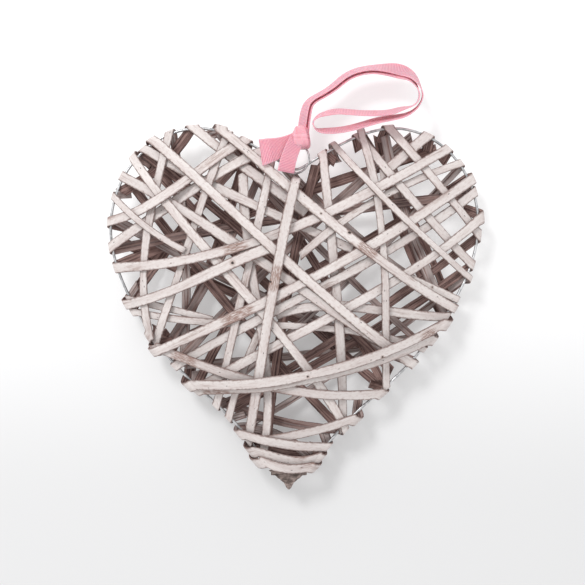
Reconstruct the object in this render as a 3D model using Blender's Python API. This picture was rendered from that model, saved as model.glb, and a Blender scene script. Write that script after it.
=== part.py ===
"""Willow heart: split willow laths wound over a wire heart, with a ring and a knotted ribbon.

The heart lies on its back. Lengths are metres, +Z is up and +Y runs from the heart's tip to its notch.
A place on the rim is a clock angle: degrees clockwise from the notch, seen from the front.
Every lath is one strip. It passes over the front, folds round the wire and passes over the back.
The laths are laid in winding order, each one resting clear on what lies under it.
"""
import math

import bmesh
import bpy
import numpy as np
from mathutils import Matrix

# The wire heart
HEART_HALF_WIDTH = 0.1207
HEART_LEAN = 0.02
WIRE_RADIUS = 0.0009
WIRE_SIDES = 6
WIRE_STATIONS = 84
CORNER_ROUNDING = 0.004
# One half of the outline from the notch to the tip, as shares of the half width
HALF_OUTLINE = [(0.0, 0.707), (0.20, 0.833), (0.547, 0.945), (0.83, 0.82), (1.0, 0.41),
                (0.886, 0.02), (0.576, -0.40), (0.307, -0.65), (0.125, -0.865), (0.0, -0.985)]

# The laths
LATH_WIDTH = 0.0051
LATH_THICKNESS = 0.0010
CLEARANCE = 0.0003
FOLD_CLEARANCE = 0.0006
SETTLED = 1e-6
FRONT_RISE = 0.014
BACK_RISE = 0.006
# How a strip rolls with the dome's slope, and how it shears so that its end lies along the wire
ROLL_GAIN = 1.7
STEEPEST_ROLL = 0.35
ROLL_REACH = 0.020
SHEAR_WIDTHS = 2.35
LEAST_SQUARENESS = 0.45
# The fold round the wire: its drift along the wire, its widening and how it turns inwards
STEEPEST_FOLD = 0.4
LEAST_DRIFT_SQUARENESS = 0.3
WIDEST_FOLD = 1.35
INWARD_TURN = 0.25
FOLD_STEPS = 4
FOLD_ROOM = (-0.0015, 0.0035, 0.0005)
# The stretches behind the wire: a short tail, or a return to the far side
TAIL_LENGTH = 0.009
TAIL_WIDTH_SHARE = 0.9
RETURN_BOW = 0.004
RETURN_STOP = 0.004
# Three feet are level in the middle of their back pass
FOOT_LEVEL_SHARE = 0.06
FOOT_EDGE_SHARE = 0.8
FOOT_CURVE = 0.75
# Where the stations of a strip go
STATION_SPACING = 0.019
LARGEST_STEP = 0.0004
MOST_STATIONS = 14
END_STATION_ROOM = 0.6
SLANT_STATIONS = 0.5
SLANT_SHARES = (0.33, 0.66)

# Each row is one lath, in winding order, the lowest on the front first:
# its number, start clock, depth inside the rim, end clock, bow, skew, width share, where the back pass ends.
# A depth of 0 folds the start round the wire. The back end is a clock, or TAIL for a short tail.
TAIL = "tail"
LATHS = [
    (1, 229.8, 0.056, 209.1, -0.0014, 0.0002, 1.0, TAIL),
    (2, 257.4, 0.043, 270.9, -0.0002, -0.0001, 0.95, TAIL),
    (3, 266.4, 0.0, 109.9, 0.0037, -0.0042, 0.95, 335.5),
    (4, 34.6, 0.037, 38.9, 0.0, -0.0001, 1.35, TAIL),
    (5, 339.0, 0.028, 191.0, 0.0044, -0.0041, 1.25, 9.4),
    (6, 48.5, 0.091, 316.0, 0.0024, -0.0006, 1.25, 125.3),
    (7, 8.3, 0.036, 330.4, 0.0003, -0.0004, 1.35, 300.8),
    (8, 348.9, 0.0, 287.2, -0.0017, -0.0006, 1.35, 59.4),
    (9, 11.4, 0.0, 158.1, 0.0016, -0.0005, 1.2, 306.8),
    (10, 234.6, 0.071, 95.6, 0.0053, 0.0027, 1.3, 27.6),
    (11, 58.9, 0.0, 241.4, 0.0033, 0.0025, 1.25, 36.0),
    (12, 8.9, 0.065, 50.3, 0.0065, 0.0001, 1.05, 219.6),
    (13, 29.0, 0.0, 69.8, -0.0003, 0.0, 1.15, 213.2),
    (14, 21.6, 0.0, 78.1, -0.0026, 0.0, 1.15, 211.1),
    (15, 253.9, 0.0, 338.9, -0.0005, -0.0005, 1.1, 132.4),
    (16, 216.5, 0.0, 352.0, -0.0012, 0.0002, 1.1, 249.1),
    (17, 68.1, 0.068, 88.9, 0.0, 0.0, 1.0, TAIL),
    (18, 257.8, 0.0, 323.4, 0.0066, 0.0019, 1.1, 237.2),
    (19, 66.1, 0.0, 227.5, 0.0042, 0.0026, 1.25, 15.1),
    (20, 132.2, 0.0, 22.2, -0.0053, 0.0016, 1.05, 90.8),
    (21, 306.3, 0.0, 117.2, 0.0024, 0.0015, 1.3, 294.8),
    (22, 311.9, 0.0, 157.5, 0.0033, -0.0033, 1.25, 218.8),
    (23, 250.6, 0.0, 137.1, -0.0082, 0.001, 1.3, 314.1),
    (24, 293.9, 0.0, 343.4, -0.0049, -0.0024, 1.3, 246.5),
    (25, 295.4, 0.055, 300.3, 0.0025, 0.0001, 0.95, TAIL),
    (26, 45.3, 0.0, 281.0, 0.0154, -0.002, 1.35, 44.0),
    (27, 250.2, 0.0, 55.6, -0.0066, 0.0004, 1.35, 250.3),
    (28, 339.2, 0.08, 269.5, 0.0016, -0.0012, 1.4, 345.0),
    (29, 319.4, 0.0, 117.4, -0.0032, 0.0015, 1.35, 289.6),
    (30, 337.4, 0.0, 91.8, -0.0054, 0.0016, 1.3, 354.2),
    (31, 15.4, 0.0, 81.5, -0.004, -0.0001, 0.9, 201.6),
    (36, 1.8, 0.006, 197.7, -0.0016, -0.0004, 1.3, TAIL),
    (32, 192.7, 0.009, 153.8, -0.0014, 0.0, 1.2, TAIL),
    (33, 167.3, 0.0, 200.2, 0.0012, 0.0, 1.25, 172.0),
    (34, 193.7, 0.0, 171.2, -0.0024, 0.001, 1.2, 195.8),
    (35, 190.1, 0.0, 174.4, -0.0022, 0.0, 1.15, TAIL),
    (37, 226.7, 0.0, 105.5, -0.0072, 0.0, 1.2, 241.0),
    (38, 230.4, 0.0, 99.0, -0.01, 0.0, 1.3, 26.1),
]
FEET = (28, 37, 38)

# The wrap round the tip, a cup that the wire's point sits in
WRAP_START = 0.0062
WRAP_LENGTH = 0.0125
WRAP_WALL = 0.0011
WRAP_PLAY = 0.0005
WRAP_END_HALF_WIDTH = 0.0009
WRAP_ARC_STEPS = 5
WRAP_BOTTOM_SHARE = 1.4
WRAP_SHARES = (0.0, 0.35, 0.75, 1.0)
WRAP_MOUTH_BAND = 0.002

# The ring through the notch
RING_RADIUS = 0.0098
RING_WIRE_RADIUS = 0.0007
RING_TILT = math.radians(20)
RING_RISE = 0.0068
RING_SIDEWAYS = 0.0013
RING_STATIONS = 28
RING_MARKS = 200
RING_SIDES = 6

# The ribbon: a doubled loop on edge, a knot round the ring and two tails
RIBBON_WIDTH = 0.012
RIBBON_THICKNESS = 0.0006
RIBBON_STEP = 0.006
RIBBON_REST_GAP = 0.0020
RIDE_SPREAD = 0.0075
TAIL_START_HEIGHT = 0.0015
TAIL_END_HEIGHT = 0.0025
KNOT_CENTRE = (0.0050, 0.1070, 0.0042)
KNOT_SIZE = (0.0122, 0.0150, 0.0144)
KNOT_SIDES = 12
KNOT_RINGS = 8
KNOT_SQUARENESS = 0.75
# The outer strand from the knot to where the strands part, then the eye that it turns back in.
# Each place is (x, y, height of its low edge, how far its top leans to the left of the way out).
RIBBON_STRAND = [(0.0056, 0.1109, -0.0050, 0.42), (0.0062, 0.1168, -0.0060, 0.42),
                 (0.0072, 0.1233, -0.0060, 0.42), (0.0098, 0.1309, -0.0060, 0.40),
                 (0.0157, 0.1355, -0.0070, 0.38), (0.0256, 0.1417, -0.0070, 0.38),
                 (0.0341, 0.1486, -0.0070, 0.42), (0.0426, 0.1525, -0.0070, 0.45),
                 (0.0531, 0.1542, -0.0070, 0.50), (0.0623, 0.1542, -0.0070, 0.66),
                 (0.0715, 0.1528, -0.0070, 0.76), (0.0777, 0.1492, -0.0070, 0.62),
                 (0.0820, 0.1427, -0.0050, 0.35), (0.0840, 0.1345, -0.0020, 0.10),
                 (0.0807, 0.1266, 0.0020, -0.10), (0.0735, 0.1210, 0.0045, -0.30)]
RIBBON_EYE = [(0.0705, 0.1246, 0.0045, -0.33), (0.0630, 0.1220, 0.0070, -0.42),
              (0.0554, 0.1210, 0.0090, -0.45), (0.0446, 0.1210, 0.0100, -0.45),
              (0.0354, 0.1217, 0.0100, -0.45), (0.0285, 0.1220, 0.0100, -0.45),
              (0.0213, 0.1207, 0.0100, -0.40), (0.0154, 0.1181, 0.0100, -0.25),
              (0.0130, 0.1141, 0.0100, 0.00), (0.0148, 0.1109, 0.0100, 0.25),
              (0.0203, 0.1096, 0.0100, 0.42), (0.0321, 0.1105, 0.0100, 0.45),
              (0.0446, 0.1135, 0.0100, 0.45), (0.0544, 0.1164, 0.0090, 0.45),
              (0.0643, 0.1184, 0.0075, 0.42)]
# The inner strand lies this far inside the outer one
STRAND_GAP = 0.0022
# A whole lean counts as this length along the route, so that it hardly moves the places
LEAN_LENGTH = 0.001
# The tails, each from inside the knot to its cut end, with its bow and its width shares at both ends.
# The left one is a flattened fold that spreads out.
TAILS = [((0.0035, 0.1075), (-0.0208, 0.0962), 0.002, 0.7, 1.5),
         ((0.0030, 0.1060), (-0.0046, 0.0832), -0.001, 0.8, 0.9)]

# The height map that the laths are laid on
CELL = 0.001
MAP_SHARE = 1.45
LAY_SAMPLES = 96
SIDE_SAMPLES = 9
FEWEST_MARKS = 24
MARK_STEP = 0.0004
NORMAL_STEPS = 2
NEAR_END = 0.02
RIM_POINTS = 720
SPLINE_POINTS = 400
ROUTE_POINTS = 1200
FOLD_ROUNDS = 4
LAY_ROUNDS = 8


def clear_scene():
    """Remove whatever the new scene starts with."""
    for thing in list(bpy.data.objects):
        bpy.data.objects.remove(thing, do_unlink=True)


def natural_spline(points, count):
    """Return count points on the natural cubic spline through the points, by chord length."""
    points = np.asarray(points, float)
    along = np.concatenate([[0.0], np.cumsum(np.linalg.norm(np.diff(points, axis=0), axis=1))])
    steps = np.diff(along)
    size = len(points)
    matrix = np.eye(size)
    right = np.zeros_like(points)
    for i in range(1, size - 1):
        matrix[i, i - 1] = steps[i - 1]
        matrix[i, i] = 2 * (steps[i - 1] + steps[i])
        matrix[i, i + 1] = steps[i]
        right[i] = 6 * ((points[i + 1] - points[i]) / steps[i] - (points[i] - points[i - 1]) / steps[i - 1])
    bend = np.linalg.solve(matrix, right)
    where = np.linspace(0, along[-1], count)
    i = np.clip(np.searchsorted(along, where) - 1, 0, size - 2)
    h = steps[i][:, None]
    a = (along[i + 1] - where)[:, None] / h
    b = 1 - a
    curve = (a ** 3 - a) * bend[i] + (b ** 3 - b) * bend[i + 1]
    return a * points[i] + b * points[i + 1] + curve * h ** 2 / 6


def resample(path, count):
    """Return count points evenly spaced along a closed path."""
    closed = np.vstack([path, path[:1]])
    along = np.concatenate([[0.0], np.cumsum(np.linalg.norm(np.diff(closed, axis=0), axis=1))])
    where = np.linspace(0, along[-1], count, endpoint=False)
    return np.stack([np.interp(where, along, closed[:, k]) for k in range(closed.shape[1])], axis=1)


class Rim:
    """The wire heart's centre line, read by clock angle."""

    def __init__(self):
        half = natural_spline(np.array(HALF_OUTLINE) * HEART_HALF_WIDTH, SPLINE_POINTS)
        loop = np.vstack([half, (half[::-1] * [-1, 1])[1:-1]])
        loop[:, 0] += HEART_LEAN * loop[:, 1]
        loop = resample(loop, RIM_POINTS)
        length = np.linalg.norm(np.diff(np.vstack([loop, loop[:1]]), axis=0), axis=1).sum()
        self.step = length / RIM_POINTS
        reach = max(1, round(CORNER_ROUNDING / self.step))
        for _ in range(2):
            loop = sum(np.roll(loop, k, axis=0) for k in range(-reach, reach + 1)) / (2 * reach + 1)
        self.loop = resample(loop, RIM_POINTS)
        self.clock = np.degrees(np.arctan2(self.loop[:, 0], self.loop[:, 1])) % 360
        self.order = np.argsort(self.clock)
        tangent = np.roll(self.loop, -NORMAL_STEPS, axis=0) - np.roll(self.loop, NORMAL_STEPS, axis=0)
        self.tangent = tangent / np.linalg.norm(tangent, axis=1)[:, None]

    def read(self, clock, table):
        """Interpolate a table along the loop at a clock angle."""
        order = self.order
        columns = [np.interp(clock % 360, self.clock[order], table[order, k], period=360) for k in range(2)]
        return np.stack(columns, axis=-1)

    def point(self, clock, depth=0.0):
        """Return the point on the rim at a clock angle, or at a depth inside it."""
        place = self.read(clock, self.loop)
        return place * (1 - depth / np.linalg.norm(place))

    def index(self, point):
        """Return the loop's index nearest to a point."""
        return int(np.argmin(((self.loop - point) ** 2).sum(axis=1)))

    def frame(self, point):
        """Return the wire's own point, its tangent and its outward normal at the nearest place."""
        i = self.index(point)
        tangent = self.tangent[i]
        return self.loop[i], tangent, np.array([-tangent[1], tangent[0]])

    def share(self, points):
        """Return how far out points are: 0 at the heart's centre and 1 on the wire."""
        points = np.asarray(points)
        clock = np.degrees(np.arctan2(points[..., 0], points[..., 1])) % 360
        reach = np.linalg.norm(self.read(clock, self.loop), axis=-1)
        return np.linalg.norm(points, axis=-1) / reach


class Side:
    """One side's height map: the top of what lies in each cell, above the wire's plane."""

    def __init__(self, rim, rise):
        self.half = MAP_SHARE * abs(rim.loop).max()
        count = int(2 * self.half / CELL)
        self.rise = rise
        self.rim = rim
        axis = (np.arange(count) + 0.5) * CELL - self.half
        self.passes = np.full((count, count), -1.0)
        self.folds = np.full((count, count), -1.0)
        spots = np.stack(np.meshgrid(axis, axis), axis=-1)
        dome = self.dome(spots) * ROLL_GAIN
        self.slope_y, self.slope_x = np.gradient(dome, CELL)
        cells = self.cells(rim.loop)
        self.passes[cells] = WIRE_RADIUS

    def dome(self, points):
        """Height of the bare dome: a parabola from the centre to the wire."""
        return self.rise * np.clip(1 - self.rim.share(points) ** 2, 0, 1)

    def cells(self, points):
        """Return the map's rows and columns under points."""
        spots = np.floor((np.asarray(points) + self.half) / CELL).astype(int)
        spots = np.clip(spots, 0, self.passes.shape[0] - 1)
        return spots[..., 1], spots[..., 0]

    def grown(self, with_folds=True):
        """Return the map with each cell as high as its highest neighbour."""
        top = np.maximum(self.passes, self.folds) if with_folds else self.passes
        grown = top
        for dy in (-1, 0, 1):
            for dx in (-1, 0, 1):
                grown = np.maximum(grown, np.roll(np.roll(top, dy, axis=0), dx, axis=1))
        return grown

    def roll(self, points, across):
        """Return how much the dome rises along the width directions at points."""
        cells = self.cells(points)
        rise = self.slope_x[cells] * across[..., 0] + self.slope_y[cells] * across[..., 1]
        return np.clip(rise, -STEEPEST_ROLL, STEEPEST_ROLL)


def upper_hull(x, z):
    """Return the lowest arch over the points (x, z), read at x, as a strip pulled tight over them lies."""
    hull = []
    for k in range(len(x)):
        while len(hull) >= 2:
            (xa, za), (xb, zb) = hull[-2], hull[-1]
            if (zb - za) * (x[k] - xa) <= (z[k] - za) * (xb - xa):
                hull.pop()
            else:
                break
        hull.append((x[k], z[k]))
    return np.interp(x, [h[0] for h in hull], [h[1] for h in hull])


class Pass:
    """A stretch of lath over one side, from a start to an end in plan."""

    def __init__(self, rim, side, start, end, bow, skew, half_width, rims, foot=None):
        self.rim = rim
        self.side = side
        self.half_width = half_width
        self.rims = rims
        self.foot = foot
        self.start = np.asarray(start, float)
        self.end = np.asarray(end, float)
        chord = self.end - self.start
        self.length = np.linalg.norm(chord)
        self.ahead = chord / self.length
        self.left = np.array([-self.ahead[1], self.ahead[0]])
        self.bow = bow
        self.skew = skew

    def plan(self, u):
        """Return plan points and width directions at the shares u of the chord."""
        arch = 4 * u * (1 - u)
        offset = arch * self.bow + arch * (1 - 2 * u) * 2 * self.skew
        points = self.start + u[:, None] * self.ahead * self.length + offset[:, None] * self.left
        turn = 4 * (1 - 2 * u) * self.bow + 8 * ((1 - 2 * u) ** 2 - 2 * u * (1 - u)) * self.skew
        heading = self.ahead * self.length + turn[:, None] * self.left
        heading /= np.linalg.norm(heading, axis=1)[:, None]
        across = np.stack([-heading[:, 1], heading[:, 0]], axis=1)
        for at_rim, distance, place in ((self.rims[0], u, self.start), (self.rims[1], 1 - u, self.end)):
            if not at_rim:
                continue
            tangent = self.rim.frame(place)[1]
            square = across @ tangent
            square = np.copysign(np.maximum(abs(square), LEAST_SQUARENESS), square)
            lean = (heading @ tangent) / square
            amount = np.clip(1 - distance * self.length / (SHEAR_WIDTHS * LATH_WIDTH), 0, 1)
            across = across + (amount * lean)[:, None] * heading
        return points, across

    def rolls(self, u, points, across):
        """Return how much the strip rises along its width directions: none on a foot or at the wire."""
        if self.foot:
            return np.zeros(len(u))
        fade = np.ones(len(u))
        for at_rim, distance in ((self.rims[0], u), (self.rims[1], 1 - u)):
            if at_rim:
                fade = np.minimum(fade, distance * self.length / ROLL_REACH)
        return self.side.roll(points, across) * fade

    def settle(self, heights):
        """Lay the pass on the map. Heights are those of its two ends; the needed ones come back."""
        u = np.linspace(0, 1, LAY_SAMPLES)
        points, across = self.plan(u)
        roll = self.rolls(u, points, across)
        grown = self.side.grown()
        need = np.full(LAY_SAMPLES, -1.0)
        for v in np.linspace(-1, 1, SIDE_SAMPLES):
            spots = points + across * v * self.half_width
            top = grown[self.side.cells(spots)]
            need = np.maximum(need, top - roll * v * self.half_width)
        need = need + LATH_THICKNESS / 2 + CLEARANCE
        rest = self.side.dome(points) + np.interp(u, [0, 1], heights)
        if self.foot:
            level = np.clip(np.sin(math.pi * u), 0, 1) ** FOOT_CURVE
            rest = heights[0] + (self.foot - heights[0]) * level
            middle = abs(u - 0.5) < FOOT_LEVEL_SHARE
            rest[middle] = self.foot
        line = np.maximum(rest, need)
        for k, (at_rim, place) in enumerate(zip(self.rims, (0, -1))):
            if at_rim:
                line[place] = max(heights[k], need[place])
        line = upper_hull(u, line)
        self.u = u
        self.line = line
        return line[0], line[-1]

    def stations(self):
        """Return the strip's stations: plan point, half width vector with its roll, and height."""
        count = max(2, round(self.length / STATION_SPACING) + 1)
        u = np.linspace(0, 1, count)
        if self.foot:
            level = FOOT_EDGE_SHARE * FOOT_LEVEL_SHARE
            u = np.sort(np.append(u[abs(u - 0.5) > 2 * FOOT_LEVEL_SHARE], [0.5 - level, 0.5 + level]))
        extra = SHEAR_WIDTHS * LATH_WIDTH / self.length
        for at_rim, place, end, toward in ((self.rims[0], self.start, 0, 1), (self.rims[1], self.end, 1, -1)):
            if not at_rim:
                continue
            if abs(abs(u - end) - extra).min() > extra * END_STATION_ROOM:
                u = np.append(u, end + toward * extra)
            if abs(self.ahead @ self.rim.frame(place)[1]) > SLANT_STATIONS:
                u = np.append(u, end + toward * extra * np.array(SLANT_SHARES))
        u = np.sort(u)
        heights = np.interp(u, self.u, self.line)
        gaps = self.line - np.interp(self.u, u, heights)
        while gaps.max() > LARGEST_STEP and len(u) < MOST_STATIONS:
            u = np.sort(np.append(u, self.u[gaps.argmax()]))
            heights = np.interp(u, self.u, self.line)
            gaps = self.line - np.interp(self.u, u, heights)
        short = gaps.max()
        if not self.foot:
            heights[1:-1] += max(short, 0)
            if not self.rims[0]:
                heights[0] += max(short, 0)
            if not self.rims[1]:
                heights[-1] += max(short, 0)
        points, across = self.plan(u)
        roll = self.rolls(u, points, across)
        return points, across * self.half_width, roll * self.half_width, heights

    def mark(self):
        """Write the top of the strip into the map."""
        points, across, roll, heights = self.stations()
        fine = max(FEWEST_MARKS, int(self.length / MARK_STEP))
        u = np.linspace(0, len(points) - 1, fine)
        k = np.arange(len(points))
        for v in np.linspace(-1, 1, 2 * SIDE_SAMPLES + 1):
            x = np.interp(u, k, points[:, 0] + across[:, 0] * v)
            y = np.interp(u, k, points[:, 1] + across[:, 1] * v)
            z = np.interp(u, k, heights + roll * v) + LATH_THICKNESS / 2
            cells = self.side.cells(np.stack([x, y], axis=1))
            np.maximum.at(self.side.passes, cells, z)


class Fold:
    """A lath's turn round the wire: two quarter ellipses with their own heights in front and behind."""

    def __init__(self, rim, place, heading, half_width):
        self.rim = rim
        self.centre, self.tangent, self.outward = rim.frame(place)
        square = abs(heading @ self.outward)
        drift = (heading @ self.tangent) / max(square, LEAST_DRIFT_SQUARENESS)
        self.drift = np.clip(drift, -STEEPEST_FOLD, STEEPEST_FOLD)
        self.half_width = half_width * min(1 / max(square, LEAST_SQUARENESS), WIDEST_FOLD)
        self.reach = WIRE_RADIUS
        self.top = WIRE_RADIUS + CLEARANCE + LATH_THICKNESS / 2
        self.bottom = self.top

    def span(self):
        """Return the loop indexes that the fold covers."""
        along = self.drift * self.reach * math.pi
        low = min(0, along) - self.half_width - CLEARANCE
        high = max(0, along) + self.half_width + CLEARANCE
        i = self.rim.index(self.centre)
        return np.arange(math.floor(low / self.rim.step), math.ceil(high / self.rim.step) + 1) + i

    def exit_place(self):
        """Return the rim point where the lath leaves the wire on the other side."""
        i = self.rim.index(self.centre) + round(self.drift * self.reach * math.pi / self.rim.step)
        return self.rim.loop[i % RIM_POINTS]

    def exit_heading(self, heading):
        """Return the lath's heading after the fold: the outward part turns back."""
        tangent, outward = self.rim.frame(self.exit_place())[1:]
        back = (heading @ tangent) * tangent - (abs(heading @ outward) + INWARD_TURN) * outward
        return back / np.linalg.norm(back)

    def stations(self, steps):
        """Return the turn's stations, front to back: centres, half width vectors, thickness directions."""
        last_centre, last_tangent, last_outward = self.rim.frame(self.exit_place())
        rows = []
        for share in np.arange(1, steps) / steps:
            angle = math.pi / 2 - math.pi * share
            centre = self.centre * (1 - share) + last_centre * share
            tangent = self.tangent * (1 - share) + last_tangent * share
            outward = self.outward * (1 - share) + last_outward * share
            height = self.top if angle > 0 else self.bottom
            middle = np.array([*(centre + outward * self.reach * math.cos(angle)), height * math.sin(angle)])
            out = np.array([*(outward * height * math.cos(angle)), self.reach * math.sin(angle)])
            rows.append((middle, np.array([*tangent, 0.0]) * self.half_width, out / np.linalg.norm(out)))
        return rows


def strip_mesh(name, rows, thickness):
    """Build a closed strip through rows of centre, half width vector and thickness direction."""
    mesh = bpy.data.meshes.new(name)
    shape = bmesh.new()
    rings = []
    for centre, half, out in rows:
        corners = [centre - half - out * thickness / 2, centre + half - out * thickness / 2,
                   centre + half + out * thickness / 2, centre - half + out * thickness / 2]
        rings.append([shape.verts.new(corner) for corner in corners])
    for a, b in zip(rings, rings[1:]):
        for k in range(4):
            shape.faces.new([a[k], a[(k + 1) % 4], b[(k + 1) % 4], b[k]])
    shape.faces.new(rings[0][::-1])
    shape.faces.new(rings[-1])
    bmesh.ops.recalc_face_normals(shape, faces=shape.faces)
    bmesh.ops.triangulate(shape, faces=shape.faces)
    shape.to_mesh(mesh)
    shape.free()
    return mesh


def add_object(name, mesh, material):
    """Put a mesh into the scene under a name, with its material."""
    thing = bpy.data.objects.new(name, mesh)
    bpy.context.collection.objects.link(thing)
    mesh.materials.append(material)
    return thing


def principled(name, colour, roughness, metallic=0.0):
    """Return a plain Principled material."""
    material = bpy.data.materials.new(name)
    material.use_nodes = True
    shader = material.node_tree.nodes["Principled BSDF"]
    shader.inputs["Base Color"].default_value = (*colour, 1.0)
    shader.inputs["Roughness"].default_value = roughness
    shader.inputs["Metallic"].default_value = metallic
    return material


def ring_path(rim, count):
    """Return the hanging ring's centre line, a leaning circle, and its axis.

    One side of it passes over the wire and the other under it.
    """
    notch = rim.point(0)
    centre = np.array([notch[0] + RING_SIDEWAYS, notch[1] + RING_RISE, 0.0])
    sideways = np.array([math.cos(RING_TILT), 0.0, math.sin(RING_TILT)])
    along = np.array([0.0, 1.0, 0.0])
    angle = 2 * math.pi * np.arange(count)[:, None] / count
    out = sideways * np.cos(angle) + along * np.sin(angle)
    return centre + out * RING_RADIUS, out, np.cross(sideways, along)


def ribbon_route(winding, step):
    """Return the loop's centres and half width vectors: a leaning strip, clear of the laths under it."""
    outer = np.array(RIBBON_STRAND)
    way = np.gradient(outer[:, :2], axis=0)
    way /= np.linalg.norm(way, axis=1)[:, None]
    inner = outer.copy()
    inner[:, :2] += STRAND_GAP * np.column_stack([way[:, 1], -way[:, 0]])
    back = outer[::-1] * (1, 1, 1, -1)
    places = np.concatenate([inner[:-1], RIBBON_EYE, back])
    route = natural_spline(places * (1, 1, 1, LEAN_LENGTH), ROUTE_POINTS)
    along = np.concatenate([[0.0], np.cumsum(np.linalg.norm(np.diff(route[:, :2], axis=0), axis=1))])
    count = round(along[-1] / step)
    where = np.linspace(0, along[-1], count)
    points = np.stack([np.interp(where, along, route[:, k]) for k in range(4)], axis=1)
    ahead = np.gradient(points[:, :2], axis=0)
    ahead /= np.linalg.norm(ahead, axis=1)[:, None]
    left = np.stack([-ahead[:, 1], ahead[:, 0]], axis=1)
    lean = points[:, 3] / LEAN_LENGTH
    half = RIBBON_WIDTH / 2
    upright = np.sqrt(1 - lean ** 2)
    grown = winding.front.grown()
    under = np.full(count, -1.0)
    for v in (-1, 0, 1):
        spots = points[:, :2] + left * (lean * half)[:, None] * v
        under = np.maximum(under, grown[winding.front.cells(spots)])
    low = np.maximum(points[:, 2], np.where(under > 0, under + RIBBON_REST_GAP, -1))
    reach = round(RIDE_SPREAD / step)
    order = np.arange(count)
    near = [np.interp(order + k, order, low) for k in range(-reach, reach + 1)]
    low = np.max(near, axis=0)
    centre = np.column_stack([points[:, :2], low + upright * half])
    return centre, np.column_stack([left * (-lean * half)[:, None], upright * half])


def tail_rows(winding):
    """Lay the two tails and return their rows of stations."""
    tails = []
    for start, end, bow, first, last in TAILS:
        tail = Pass(winding.rim, winding.front, start, end, bow, 0, RIBBON_WIDTH / 2 * last, (False, False))
        tail.settle((TAIL_START_HEIGHT, TAIL_END_HEIGHT))
        rows = winding.align(winding.rows_of(tail, 1))
        shares = np.linspace(first / last, 1, len(rows))
        tails.append([(centre, half * share, out) for (centre, half, out), share in zip(rows, shares)])
        tail.mark()
    return tails


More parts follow.
